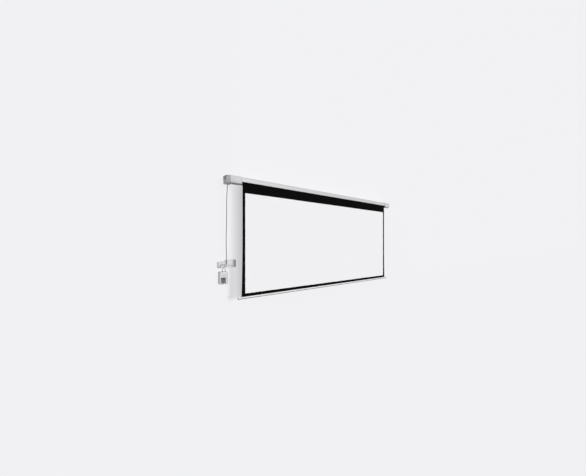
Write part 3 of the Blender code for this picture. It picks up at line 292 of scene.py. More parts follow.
@dataclass
class EffectGroups:
    """The node groups that the materials share."""

    noise_mean: float = 0.5
    gloss_gain: float = 2.0
    streak_stretch: Point = (0.01, 1.0, 1.0)
    coat_lumps: float = 900.0
    # The veil on upward faces: dust where thin, painted shade where heavy.
    veil_patches: float = 60.0
    veil_slope: float = 1.5
    veil_span: Pair = (0.3, 0.7)
    veil_depth: Pair = (0.9, 1.0)

    def __post_init__(self) -> None:
        """Makes every group."""
        self.tone = self._tone()
        self.grain = self._grain()
        self.streaks = self._streaks()
        self.weave = self._weave()
        self.dust_and_shade = self._dust_and_painted_shade()

    def _tone(self) -> Tree:
        """Slow changes of shade and gloss, such as handling and uneven coats leave.

        Returns:
            A group from a colour and a roughness to the same with their changes.
        """
        inputs = {"Colour": None, "Roughness": 0.5, "Amount": 0.05, "Patches": 9.0}
        tree, start, end = new_group("uneven_coat", inputs, ("Colour", "Roughness"))
        noise = object_noise(tree, start.outputs["Patches"], detail=4.0)
        centred = math_node(tree, "SUBTRACT", noise, self.noise_mean)
        change = math_node(tree, "MULTIPLY", centred, start.outputs["Amount"])
        shade = scaled(tree, start.outputs["Colour"], math_node(tree, "ADD", change, 1.0))
        rough = math_node(tree, "MULTIPLY_ADD", change, self.gloss_gain, start.outputs["Roughness"])
        feed(tree, end, {"Colour": shade, "Roughness": rough})
        return tree

    def _grain(self) -> Tree:
        """The fine pits of a moulded or sprayed surface.

        Returns:
            A group from a grain density to a height.
        """
        tree, start, end = new_group("fine_grain", {PER_METRE: 1500.0, "Sharpness": 0.5}, ("Height",))
        density = start.outputs[PER_METRE]
        noise = object_noise(tree, density, detail=3.0)
        place = tree.nodes.new("ShaderNodeTexCoord").outputs["Object"]
        cells = add_node(tree, "ShaderNodeTexVoronoi", {"Vector": place, "Scale": density})
        pits = math_node(tree, "MULTIPLY", cells.outputs["Distance"], start.outputs["Sharpness"])
        feed(tree, end, {"Height": math_node(tree, "ADD", noise, pits)})
        return tree

    def _streaks(self) -> Tree:
        """The drawn lines of brushed or extruded metal along X.

        Returns:
            A group from a line density to a height.
        """
        tree, start, end = new_group("drawn_lines", {PER_METRE: 2500.0}, ("Height",))
        noise = object_noise(tree, start.outputs[PER_METRE], detail=3.0, stretch=self.streak_stretch)
        feed(tree, end, {"Height": noise})
        return tree

    def _weave(self) -> Tree:
        """Warp and weft under a coating, across X and Z.

        Returns:
            A group from a thread density to a height.
        """
        tree, start, end = new_group("coated_weave", {PER_METRE: 1600.0, "Softness": 0.5}, ("Height",))
        axes = parted(tree, tree.nodes.new("ShaderNodeTexCoord").outputs["Object"])
        turns = math_node(tree, "MULTIPLY", start.outputs[PER_METRE], math.pi)
        waves = []
        for axis in ("X", "Z"):
            angle = math_node(tree, "MULTIPLY", axes[axis], turns)
            waves.append(math_node(tree, "ABSOLUTE", math_node(tree, "SINE", angle)))
        woven = math_node(tree, "MULTIPLY", *waves)
        lumps = object_noise(tree, self.coat_lumps, detail=4.0)
        coat = math_node(tree, "MULTIPLY", lumps, start.outputs["Softness"])
        feed(tree, end, {"Height": math_node(tree, "ADD", woven, coat)})
        return tree

    def _dust_and_painted_shade(self) -> Tree:
        """A grey veil on faces that look up, and painted shade on those that look down. A thin veil is dust;
        a heavy one, as on the case and caps, is painted shade on their upper faces.

        Returns:
            A group from a colour to the same with both.
        """
        inputs = {"Colour": None, "Dust and shade": None, "Amount": 0.25, "Painted shade below": 0.0}
        tree, start, end = new_group("dust_and_painted_shade", inputs, ("Colour",))
        tilt = parted(tree, tree.nodes.new("ShaderNodeNewGeometry").outputs["Normal"])["Z"]
        steep = math_node(tree, "POWER", math_node(tree, "MAXIMUM", tilt, 0.0), self.veil_slope)
        noise = object_noise(tree, self.veil_patches, detail=5.0)
        patches = ramp(tree, noise, self.veil_span, self.veil_depth)
        cover = math_node(tree, "MULTIPLY", steep, patches)
        veil = math_node(tree, "MULTIPLY", cover, start.outputs["Amount"])
        colours = {"Factor": veil, "A": start.outputs["Colour"], "B": start.outputs["Dust and shade"]}
        veiled = add_node(tree, "ShaderNodeMix", colours, data_type="RGBA").outputs["Result"]
        # Painted shade: faces that look down are darkened by the share given for them.
        down = math_node(tree, "MAXIMUM", math_node(tree, "MULTIPLY", tilt, -1.0), 0.0)
        kept = math_node(tree, "SUBTRACT", 1.0, math_node(tree, "MULTIPLY", down, start.outputs["Painted shade below"]))
        feed(tree, end, {"Colour": scaled(tree, veiled, kept)})
        return tree


@dataclass(frozen=True)
class Finish:
    """A surface finish and the material that shows it."""

    name: str
    colour: Colour
    roughness: float
    grain: Grain
    metallic: float = 0.0
    specular: float = 0.5
    density: float = 1500.0
    relief: float = 0.00003
    unevenness: float = 0.05
    # The veil on upward faces is dust where thin and painted shade where heavy; under paints shade on faces
    # that look down.
    dust_and_shade: float = 0.1
    under: float = 0.0

    def material(self, groups: EffectGroups) -> bpy.types.Material:
        """The finish as a material, made once.

        Args:
            groups: The shared node groups.

        Returns:
            The material.
        """
        known = bpy.data.materials.get(self.name)
        if known is not None:
            return known
        material = bpy.data.materials.new(self.name)
        material.use_nodes = True
        tree = material.node_tree
        tone = {"Colour": (*self.colour, 1), "Roughness": self.roughness, "Amount": self.unevenness}
        coat = add_node(tree, "ShaderNodeGroup", tone, node_tree=groups.tone).outputs
        # The veil and under paint shade on the upper and lower faces of the case and caps, and put thin dust
        # on the rest.
        dust_and_shade = {"Colour": coat["Colour"], "Dust and shade": DUST_AND_SHADE_COLOUR, "Amount": self.dust_and_shade, "Painted shade below": self.under}
        veil = add_node(tree, "ShaderNodeGroup", dust_and_shade, node_tree=groups.dust_and_shade).outputs
        relief = {"Distance": self.relief, "Height": self._relief(tree, groups)}
        feed(tree, tree.nodes["Principled BSDF"], {
            "Base Color": veil["Colour"],
            "Metallic": self.metallic,
            "Roughness": coat["Roughness"],
            "Specular IOR Level": self.specular,
            "Normal": add_node(tree, "ShaderNodeBump", relief).outputs["Normal"],
        })
        return material

    def _relief(self, tree: Tree, groups: EffectGroups) -> Socket:
        """The height that this finish's grain gives.

        Args:
            tree: The material's tree.
            groups: The shared node groups.

        Returns:
            The height's socket.
        """
        group = {Grain.BRUSHED: groups.streaks, Grain.WEAVE: groups.weave}.get(self.grain, groups.grain)
        values = {PER_METRE: self.density}
        if self.grain in PIT_SHARPNESS:
            values["Sharpness"] = PIT_SHARPNESS[self.grain]
        return add_node(tree, "ShaderNodeGroup", values, node_tree=group).outputs["Height"]


# The case and caps have a heavy veil, painted shade on their upper faces, and under, painted shade on the
# faces that look down.
CASE_ENAMEL = Finish("case_enamel", (0.56, 0.565, 0.57), 0.42, Grain.ENAMEL, density=700, relief=0.00002,
                     dust_and_shade=0.9, under=0.5)
CAP_MOULDING = Finish("cap_moulding", (0.57, 0.57, 0.58), 0.5, Grain.MOULDED, density=2200, relief=0.00002,
                      dust_and_shade=0.9, under=0.5)
BRACKET_ENAMEL = Finish("bracket_enamel", (0.84, 0.84, 0.845), 0.5, Grain.ENAMEL, density=900)
BAR_ENAMEL = Finish("bar_enamel", (0.74, 0.74, 0.75), 0.4, Grain.ENAMEL, density=900, relief=0.00002)
# The bumper along the bar's foot is grey as painted shade under the bar.
BUMPER_SHADE_GREY = Finish("bumper_painted_shade", (0.31, 0.31, 0.315), 0.6, Grain.SHEATH, density=2000, relief=0.00002)
BAR_CAP_GREY = Finish("bar_cap_grey", (0.40, 0.40, 0.405), 0.5, Grain.MOULDED, density=2200)
ZINC = Finish("zinc_plate", (0.6, 0.61, 0.63), 0.34, Grain.BRUSHED, metallic=1.0, density=1800,
              relief=0.00001)
# The upper wall bolts' dark finish is painted shade in the gap between the case end and the wall.
BOLT_PAINTED_SHADE = Finish("dark_bolt", (0.20, 0.20, 0.205), 0.42, Grain.CAST, metallic=0.3, density=2500)
SCREW_STEEL = Finish("screw_steel", (0.2, 0.2, 0.21), 0.38, Grain.CAST, metallic=0.8, density=3000,
                     relief=0.00001)
ALUMINIUM = Finish("drawn_aluminium", (0.72, 0.73, 0.75), 0.3, Grain.BRUSHED, metallic=1.0, relief=0.00001)
MOTOR_STEEL = Finish("motor_steel", (0.22, 0.23, 0.25), 0.42, Grain.BRUSHED, metallic=0.9, relief=0.00001)
NYLON = Finish("black_nylon", (0.02, 0.02, 0.022), 0.5, Grain.MOULDED, density=1800)
ACETAL = Finish("acetal", (0.75, 0.74, 0.70), 0.45, Grain.MOULDED)
SHEATH = Finish("cord_sheath", (0.17, 0.17, 0.175), 0.55, Grain.SHEATH, density=2600)
GLAND_GREY = Finish("gland_grey", (0.85, 0.85, 0.855), 0.5, Grain.MOULDED, density=2000)
HOUSING = Finish("control_housing", (0.62, 0.62, 0.625), 0.48, Grain.MOULDED, density=2200, relief=0.00002)
HUB_GREY = Finish("junction_grey", (0.62, 0.62, 0.625), 0.5, Grain.MOULDED, density=2000)
COVER_GREY = Finish("receiver_grey", (0.68, 0.68, 0.685), 0.48, Grain.MOULDED, density=2200, relief=0.00002)
# Painted light: a paler tone given to housings' left sides, which face away from the lamp.
PAINTED_LIGHT_SIDE = Finish("painted_light_side", (0.88, 0.88, 0.885), 0.5, Grain.MOULDED, density=2200, relief=0.00002)
PLUG_GREY = Finish("plug_grey", (0.045, 0.045, 0.047), 0.5, Grain.MOULDED, density=2000, relief=0.00001)
# The grey of painted shade lines: the shadow in the case's top joint and in the receiver's and switch
# plate's grooves.
SHADE_LINE_GREY = Finish("painted_shade_line", (0.22, 0.22, 0.225), 0.6, Grain.SHEATH, density=2000, relief=0.00001)
BOARD = Finish("solder_mask", (0.02, 0.12, 0.05), 0.4, Grain.ENAMEL, density=900)
SWITCH_WHITE = Finish("switch_white", (0.60, 0.60, 0.605), 0.32, Grain.MOULDED, density=2500, relief=0.00001)
KEY_DARK = Finish("key_dark", (0.055, 0.055, 0.06), 0.36, Grain.MOULDED, density=2500, relief=0.00001)
PICTURE_WHITE = Finish("picture_white", (0.86, 0.86, 0.875), 0.85, Grain.WEAVE, specular=0.2,
                       unevenness=0.01, relief=0.00002, dust_and_shade=0.0)
BORDER_BLACK = Finish("border_black", (0.003, 0.003, 0.003), 0.8, Grain.WEAVE, specular=0.02,
                      unevenness=0.1, dust_and_shade=0.0)
BACKING_BLACK = Finish("backing_black", (0.012, 0.012, 0.013), 0.75, Grain.WEAVE, specular=0.2, dust_and_shade=0.0)


# Shapes


def in_scene(name: str, data: bpy.types.ID) -> Object:
    """A new object in the scene.

    Args:
        name: Its name.
        data: Its mesh, curve, lamp or camera.

    Returns:
        The object.
    """
    made = bpy.data.objects.new(name, data)
    bpy.context.scene.collection.objects.link(made)
    return made


@dataclass
class Shape:
    """A mesh in the making."""

    mesh: bmesh.types.BMesh = field(default_factory=bmesh.new)

    def turned(self, profile: Sequence[Pair], matrix: Matrix, steps: int = 48) -> "Shape":
        """Adds a turned body.

        Args:
            profile: (radius, height) points; a radius of 0 closes an end.
            matrix: Where the body's own Z axis lies.
            steps: How many sides.

        Returns:
            This shape.
        """
        rings = []
        for radius, height in profile:
            angles = [2 * math.pi * k / steps for k in range(steps)] if radius > 0 else [0.0]
            ring = [Vector((radius * math.cos(a), radius * math.sin(a), height)) for a in angles]
            rings.append([self.mesh.verts.new(matrix @ point) for point in ring])
        for low, high in zip(rings, rings[1:]):
            for k in range(steps):
                j = (k + 1) % steps
                corners = [low[k % len(low)], low[j % len(low)], high[j % len(high)], high[k % len(high)]]
                unique = list(dict.fromkeys(corners))
                if len(unique) > 2:
                    self.mesh.faces.new(unique)
        return self

    def prism(self, outline: Sequence[Pair], low: float, high: float, matrix: Matrix) -> "Shape":
        """Adds an outline pushed along its Z, closed at both ends.

        Args:
            outline: The corners in order.
            low: The height of one end.
            high: The height of the other end.
            matrix: Where the outline lies.

        Returns:
            This shape.
        """
        foot, top = (
            [self.mesh.verts.new(matrix @ Vector((u, v, z))) for u, v in outline] for z in (low, high)
        )
        count = len(outline)
        for k in range(count):
            j = (k + 1) % count
            self.mesh.faces.new([foot[k], foot[j], top[j], top[k]])
        self.mesh.faces.new(foot[::-1])
        self.mesh.faces.new(top)
        return self

    def data(self, name: str) -> bpy.types.Mesh:
        """The finished mesh, with its faces turned outwards.

        Args:
            name: The mesh's name.

        Returns:
            The mesh. Nothing can be added to the shape after this.
        """
        bmesh.ops.recalc_face_normals(self.mesh, faces=self.mesh.faces)
        data = bpy.data.meshes.new(name)
        self.mesh.to_mesh(data)
        self.mesh.free()
        return data


def softened(piece: Object, width: float, segments: int = 2) -> None:
    """Rounds a piece's sharp edges.

    Args:
        piece: The object.
        width: The width of the rounding.
        segments: How many facets it has.
    """
    bevel = piece.modifiers.new("soft_edges", "BEVEL")
    bevel.width = width
    bevel.segments = segments
    bevel.limit_method = "ANGLE"
    bevel.angle_limit = math.radians(BEVEL_ANGLE)
    bevel.harden_normals = True


def carved(piece: Object, carving: Carving, *tools: Object) -> None:
    """Applies carving tools to a piece's mesh and removes them.

    Args:
        piece: The object.
        carving: What the tools do.
        tools: The tools' objects.
    """
    for tool in tools:
        cut = piece.modifiers.new("cut", "BOOLEAN")
        cut.object = tool
        cut.operation = carving.value
        cut.solver = "EXACT"
    bpy.context.view_layer.update()
    mesh = bpy.data.meshes.new_from_object(piece.evaluated_get(bpy.context.evaluated_depsgraph_get()))
    piece.modifiers.clear()
    piece.data = mesh
    for tool in tools:
        bpy.data.objects.remove(tool)


def rounded_box(width: float, height: float, corner: float, steps: int = 5) -> list[Pair]:
    """A rectangle with round corners, centred on the origin.

    Args:
        width: Its size along X.
        height: Its size along Y.
        corner: The radius of its corners.
        steps: The facets of each corner.

    Returns:
        Its outline's corners in order.
    """
    outline = []
    for k, (su, sv) in enumerate(((1, 1), (-1, 1), (-1, -1), (1, -1))):
        for step in range(steps + 1):
            angle = math.pi / 2 * (k + step / steps)
            outline.append((su * (width / 2 - corner) + corner * math.cos(angle),
                            sv * (height / 2 - corner) + corner * math.sin(angle)))
    return outline


def hexagon(radius: float) -> list[Pair]:
    """The corners of a hexagon, centred on the origin."""
    return [(radius * math.cos(k * math.pi / 3), radius * math.sin(k * math.pi / 3)) for k in range(6)]


def evenly(low: float, high: float, step: float) -> list[float]:
    """Numbers from low to high, about a step apart."""
    count = max(1, round((high - low) / step))
    return [low + (high - low) * k / count for k in range(count + 1)]


def smooth_route(points: Sequence[Point], spacing: float) -> list[Vector]:
    """Points along a Catmull-Rom curve through a route.

    Args:
        points: The route's points.
        spacing: About how far apart the result's points are.

    Returns:
        The curve's points.
    """
    route = [Vector(p) for p in points]
    route = [2 * route[0] - route[1], *route, 2 * route[-1] - route[-2]]
    line = []
    for a, b, c, d in zip(route, route[1:], route[2:], route[3:]):
        bend, twist = 2 * a - 5 * b + 4 * c - d, 3 * b - a - 3 * c + d
        count = max(1, round((c - b).length / spacing))
        for t in (k / count for k in range(count)):
            line.append(0.5 * (2 * b + (c - a) * t + bend * t**2 + twist * t**3))
    line.append(route[-2])
    return line


def smooth_by_angle() -> Tree:
    """A geometry node group that shades smooth up to SMOOTH_ANGLE.

    Returns:
        The group, made once.
    """
    name = "smooth_by_angle"
    known = bpy.data.node_groups.get(name)
    if known is not None:
        return known
    tree = bpy.data.node_groups.new(name, "GeometryNodeTree")
    for direction in ("INPUT", "OUTPUT"):
        tree.interface.new_socket(name="Geometry", in_out=direction, socket_type="NodeSocketGeometry")
    angle = tree.nodes.new("GeometryNodeInputMeshEdgeAngle").outputs["Unsigned Angle"]
    sharp = math_node(tree, "GREATER_THAN", angle, math.radians(SMOOTH_ANGLE))
    whole = {"Geometry": tree.nodes.new("NodeGroupInput").outputs[0]}
    smooth = add_node(tree, "GeometryNodeSetShadeSmooth", whole).outputs[0]
    hard = {"Geometry": smooth, "Selection": sharp, "Shade Smooth": False}
    edged = add_node(tree, "GeometryNodeSetShadeSmooth", hard, domain="EDGE").outputs[0]
    add_node(tree, "NodeGroupOutput", {0: edged})
    return tree


@dataclass
class Workshop:
    """What every sub-assembly is built with."""

    frame: dict
    groups: EffectGroups
    head_profile: tuple[Pair, ...] = ((0.97, 0.0), (1.0, 0.15), (0.96, 0.45), (0.8, 0.78), (0.5, 0.96))
    recess_arm: float = 0.58
    recess_half: float = 0.13
    recess_corner: float = 0.05
    recess_depth: float = 0.7
    recess_facets: int = 2

    def dress(self, node: str, finish: Finish, edge: float = 0.0, segments: int = 2) -> Object:
        """Gives a CAD node its finish, and rounds its edges if a width is given.

        Args:
            node: The node's name.
            finish: Its finish.
            edge: The width of its rounded edges, or 0.
            segments: The facets of a rounded edge.

        Returns:
            The node's object.
        """
        made = self.frame["nodes"][node]
        made.data.materials.clear()
        made.data.materials.append(finish.material(self.groups))
        normals = made.data.attributes.get("custom_normal")
        if normals is not None:
            made.data.attributes.remove(normals)
        for polygon in made.data.polygons:
            polygon.use_smooth = True
        weld = made.modifiers.new("weld", "WELD")
        weld.merge_threshold = WELD
        if edge > 0:
            softened(made, edge, segments)
        shading = made.modifiers.new("shading", "NODES")
        shading.node_group = smooth_by_angle()
        log.info("dressed %s as %s", node, finish.name)
        return made

    def made(self, shape: Shape, name: str, finish: Finish, smooth: float = SMOOTH_ANGLE) -> Object:
        """A shape as a finished object.

        Args:
            shape: The shape.
            name: The object's name.
            finish: Its finish.
            smooth: Edges over this many degrees stay sharp.

        Returns:
            The object, linked to the scene.
        """
        data = shape.data(name)
        data.shade_smooth()
        data.set_sharp_from_angle(angle=math.radians(smooth))
        data.materials.append(finish.material(self.groups))
        return in_scene(name, data)

    def copy(self, node: str, finish: Finish) -> Object:
        """A welded copy of a CAD node's solid, in world coordinates, to carve.

        Args:
            node: The node's name.
            finish: The copy's finish.

        Returns:
            The copy.
        """
        solid = self.frame["nodes"][node]
        mesh = bmesh.new()
        mesh.from_mesh(solid.data)
        mesh.transform(solid.matrix_world)
        bmesh.ops.remove_doubles(mesh, verts=mesh.verts, dist=WELD)
        return self.made(Shape(mesh), node + "_detailed", finish)

    def tool(self, shape: Shape) -> Object:
        """A shape as a tool for carving."""
        return self.made(shape, "carving_tool", SCREW_STEEL)

    def recess(self, piece: Object, arms: Pair, corner: float, span: Pair, matrix: Matrix) -> None:
        """Cuts a cross recess into a head.

        Args:
            piece: The head.
            arms: The length and width of each arm.
            corner: The radius of the arms' corners.
            span: The heights between which the recess lies.
            matrix: Where the head lies.
        """
        outlines = [rounded_box(*sides, corner, self.recess_facets) for sides in (arms, arms[::-1])]
        bars = [self.tool(Shape().prism(outline, *span, matrix)) for outline in outlines]
        carved(piece, Carving.CUT, *bars)

    def cross_screw(self, node: str, turn: Turn, shank: float, head: float, finish: Finish) -> None:
        """A pan-head screw with a cross recess, in place of a plain one.

        Args:
            node: The plain screw's node.
            turn: Where its head points.
            shank: The radius of its shank.
            head: The height of its head.
            finish: Its finish.
        """
        low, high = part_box(node)
        middle = (low + high) / 2
        if turn is Turn.FACING:
            base, length = (middle.x, high.y, middle.z), high.y - low.y
        else:
            base, length = (middle.x, middle.y, low.z), high.z - low.z
        radius, seat = (high.x - low.x) / 2, length - head
        matrix = turn.matrix(base)
        profile = [(0, 0), (shank, 0), (shank, seat)]
        profile += [(radius * reach, seat + rise * head) for reach, rise in self.head_profile]
        profile.append((0, length))
        piece = self.made(Shape().turned(profile, matrix, SCREW_STEPS), node + "_head", finish, HEAD_ANGLE)
        arms = (2 * radius * self.recess_arm, 2 * radius * self.recess_half)
        span = (length - head * self.recess_depth, length + head)
        self.recess(piece, arms, radius * self.recess_corner, span, matrix)
        self.fit(piece, Body.SCREEN, node, node)

    def fit(self, piece: Object, body: Body, slot: str, *nodes: str) -> None:
        """Puts a new piece on its body, in place of CAD nodes.

        Args:
            piece: The new piece.
            body: The body that it rides on.
            slot: The record's material slot; it is not used.
            nodes: The CAD nodes that it stands for.
        """
        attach(piece, body.value)
        if nodes:
            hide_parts(*nodes)
        log.info("fitted %s on %s", piece.name, body.value)


# Sub-assemblies


@dataclass
class Case:
    """The bent sheet case, its end caps, plates and screws.

    A screw's pair is its shank's radius and its head's height. A bolt's head and washers have their reaches
    as shares of the plain washer's radius or of the head's.
    """

    shop: Workshop
    cap_edge: float = 0.0012
    cap_facets: int = 3
    bracket_edge: float = 0.0004
    cap_screw: Pair = (0.0018, 0.0025)
    foot_screw: Pair = (0.0025, 0.0028)
    # The painted shadow line along the front top edge: two points across it, and half its thickness.
    seam_shadow: tuple[Pair, Pair] = ((0.0016, 0.0136), (0.0038, 0.0158))
    seam_shadow_half: float = 0.0002
    bolt_shank: float = 0.003
    bolt_seat: float = 0.0033
    washer: float = 0.0016
    washer_edge: float = 0.0003
    washer_flat: float = 0.97
    spring_washer: float = 0.0014
    spring_reach: float = 0.99
    head_gap: float = 0.0015
    head_reach: float = 0.74
    bevel_reach: float = 1.1
    bevel_top: float = 0.8
    bevel_drop: float = 0.0022

    def build(self) -> None:
        """Dresses the case and makes its screws and bolts."""
        self.shop.dress("case_shell", CASE_ENAMEL)
        for side in ("left", "right"):
            self.shop.dress(f"end_cap_{side}", CAP_MOULDING, self.cap_edge, self.cap_facets)
            self.shop.cross_screw(f"cap_screw_{side}", Turn.FACING, *self.cap_screw, SCREW_STEEL)
            self.shop.dress(f"wall_bracket_{side}", BRACKET_ENAMEL, self.bracket_edge)
            self.shop.cross_screw(f"bracket_screw_{side}", Turn.UP, *self.foot_screw, ZINC)
            # The upper bolt is dark, as painted shade in the gap behind the case end.
            self._bolt(f"wall_bolt_{side}_upper", BOLT_PAINTED_SHADE)
            self._bolt(f"wall_bolt_{side}_lower", ZINC)
        self.shop.dress("motor_plate", ZINC)
        self.shop.dress("idler_plate", ZINC)
        # The painted shadow line along the case's front top edge.
        self._seam_shadow()

    def _seam_shadow(self) -> None:
        """A painted shadow line in the joint where the case's top sheet hooks over its front, along the
        front top edge.
        """
        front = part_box("case_shell")[0].y
        left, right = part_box("end_cap_left")[1].x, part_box("end_cap_right")[0].x
        low, high = (Vector(end) for end in self.seam_shadow)
        across = (high - low).normalized()
        out = Vector((-across.y, across.x)) * self.seam_shadow_half
        corners = [(front + y, z) for y, z in (low + out, high + out, high - out, low - out)]
        line = Shape().prism(corners, left, right, Turn.ALONG_X.matrix((0, 0, 0)))
        self.shop.fit(self.shop.made(line, "case_seam_shadow", SHADE_LINE_GREY), Body.SCREEN, "case_shell")

    def _bolt(self, node: str, finish: Finish) -> None:
        """A hexagon bolt with a plain washer and a spring washer.

        Args:
            node: The plain bolt's node.
            finish: Its finish.
        """
        low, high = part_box(node)
        middle = (low + high) / 2
        matrix = Turn.FACING.matrix((middle.x, high.y, middle.z))
        rim, length = (high.x - low.x) / 2, high.y - low.y
        foot, seat = self.bolt_seat, self.bolt_seat + self.washer
        head = rim * self.head_reach
        prism = Shape().prism(hexagon(head), seat + self.head_gap, length, matrix)
        top = self.shop.made(prism, node + "_head", finish, HARD_ANGLE)
        wide, narrow = head * self.bevel_reach, head * self.bevel_top
        bevel = [(0, 0), (wide, 0), (wide, length - self.bevel_drop), (narrow, length), (0, length)]
        carved(top, Carving.KEEP, self.shop.tool(Shape().turned(bevel, matrix)))
        shank, edge = self.bolt_shank, self.washer_edge
        flat, spring, lift = rim * self.washer_flat, head * self.spring_reach, seat + self.spring_washer
        profile = [(0, 0), (shank, 0), (shank, foot), (flat, foot), (rim, foot + edge), (rim, seat - edge),
                   (flat, seat), (spring, seat), (spring, lift), (0, lift)]
        under = self.shop.made(Shape().turned(profile, matrix), node + "_washers", finish, HARD_ANGLE)
        for piece in (top, under):
            self.shop.fit(piece, Body.SCREEN, node, node)


@dataclass
class Drive:
    """The roller, its motor and its idler."""

    shop: Workshop

    def build(self) -> None:
        """Dresses the pieces inside the case."""
        finishes = {
            "motor_head": MOTOR_STEEL, "motor_body": MOTOR_STEEL, "motor_shaft": ZINC, "motor_crown": NYLON,
            "drive_wheel": NYLON, "motor_clip": ZINC, "motor_lead": SHEATH, "roller_tube": ALUMINIUM,
            "fabric_wraps": BACKING_BLACK, "idler_plug": NYLON, "idler_bush": ACETAL, "idler_pin": ZINC,
            "idler_clip": ZINC,
        }
        for node, finish in finishes.items():
            self.shop.dress(node, finish)


@dataclass
class Drop:
    """The fabric and the weight bar.

    The sides flare towards the foot, over flare_height. At the roll the fabric stands off a little, over
    lead_length. unwound, the share of its height that is left when the bar is up, is not used.
    """

    shop: Workshop
    middle: float = field(init=False)
    depth: float = field(init=False)
    top: float = field(init=False)
    bar_top: float = field(init=False)
    picture_width: float = 2.337
    picture_height: float = 0.995
    picture_top: float = -0.133
    side_border: float = 0.029
    side_flare: float = 0.010
    flare_height: float = 0.60
    bottom_border: float = 0.031
    thickness: float = 0.0006
    unwound: float = 0.003
    lead_off: float = 0.0009
    lead_length: float = 0.009
    columns: int = 48
    row: float = 0.03
    lead_row: float = 0.003
    hem_row: float = 0.01
    cap_edge: float = 0.0005

    def build(self) -> None:
        """Makes the fabric and dresses the bar."""
        low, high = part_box("fabric_sheet")
        self.middle = (low.x + high.x) / 2
        self.depth = (low.y + high.y) / 2
        self.top = high.z
        hem_top = self.picture_top - self.picture_height
        self.bar_top = hem_top - self.bottom_border
        lead = self.top - self.lead_length
        levels = evenly(hem_top, self.picture_top, self.row) + evenly(self.picture_top, lead, self.row)[1:]
        sheet = self._cloth("screen_fabric", levels + evenly(lead, self.top, self.lead_row)[1:])
        self.shop.fit(sheet, Body.DROP, "fabric_sheet", "fabric_sheet")
        hem = self._cloth("fabric_hem", evenly(low.z, hem_top, self.hem_row))
        self.shop.fit(hem, Body.DROP, "fabric_sheet", "fabric_sheet")
        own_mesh(sheet)
        self.shop.dress("weight_bar", BAR_ENAMEL)
        # The bumper's grey is painted shade along the bar's lower edge.
        self.shop.dress("bar_bumper", BUMPER_SHADE_GREY)
        self.shop.dress("bar_rod", ZINC)
        for side in ("left", "right"):
            self.shop.dress(f"bar_cap_{side}", BAR_CAP_GREY, self.cap_edge)

    def _half_width(self, z: float) -> float:
        """Half the fabric's width at a height."""
        share = min(1.0, max(0.0, 1 - (z - self.bar_top) / self.flare_height))
        return self.picture_width / 2 + self.side_border + self.side_flare * share * share

    def _row(self, mesh: bmesh.types.BMesh, y: float, z: float) -> list[bmesh.types.BMVert]:
        """Adds a row of the fabric's points, which stands off the roll near its top.

        Args:
            mesh: The fabric's mesh.
            y: The depth of this side of the fabric.
            z: The row's height.

        Returns:
            The points from left to right.
        """
        ahead = self.lead_off * max(0.0, 1 - (self.top - z) / self.lead_length)
        half, reach = self.picture_width / 2, self._half_width(z)
        across = [-reach, *evenly(-half, half, self.picture_width / self.columns), reach]
        return [mesh.verts.new((self.middle + u, y - ahead, z)) for u in across]

    def _cloth(self, name: str, levels: Sequence[float]) -> Object:
        """A stretch of fabric: a white picture within black borders, and a black back.

        Args:
            name: The piece's name.
            levels: The heights of its rows, from the bottom.

        Returns:
            The fabric.
        """
        cloth, half = Shape(), self.thickness / 2
        mesh, sides = cloth.mesh, (self.depth - half, self.depth + half)
        front, back = ([self._row(mesh, y, z) for z in levels] for y in sides)
        spans, last = range(len(levels) - 1), self.columns + 1
        picture_foot = self.picture_top - self.picture_height
        for rows in (front, back):
            for j in spans:
                pictured = self.picture_top > (levels[j] + levels[j + 1]) / 2 > picture_foot
                for i in range(last + 1):
                    corners = [rows[j][i], rows[j][i + 1], rows[j + 1][i + 1], rows[j + 1][i]]
                    if rows is back:
                        corners, layer = corners[::-1], Layer.BACKING
                    else:
                        layer = Layer.PICTURE if pictured and 0 < i < last else Layer.BORDER
                    mesh.faces.new(corners).material_index = layer.value
        rim = [(front[j][e], front[j + 1][e], back[j + 1][e], back[j][e]) for e in (0, -1) for j in spans]
        rim += [(front[e][i], front[e][i + 1], back[e][i + 1], back[e][i])
                for e in (0, -1) for i in range(last + 1)]
        for corners in rim:
            mesh.faces.new(corners).material_index = Layer.BORDER.value
        data = cloth.data(name)
        for finish in (PICTURE_WHITE, BORDER_BLACK, BACKING_BLACK):
            data.materials.append(finish.material(self.shop.groups))
        return in_scene(name, data)


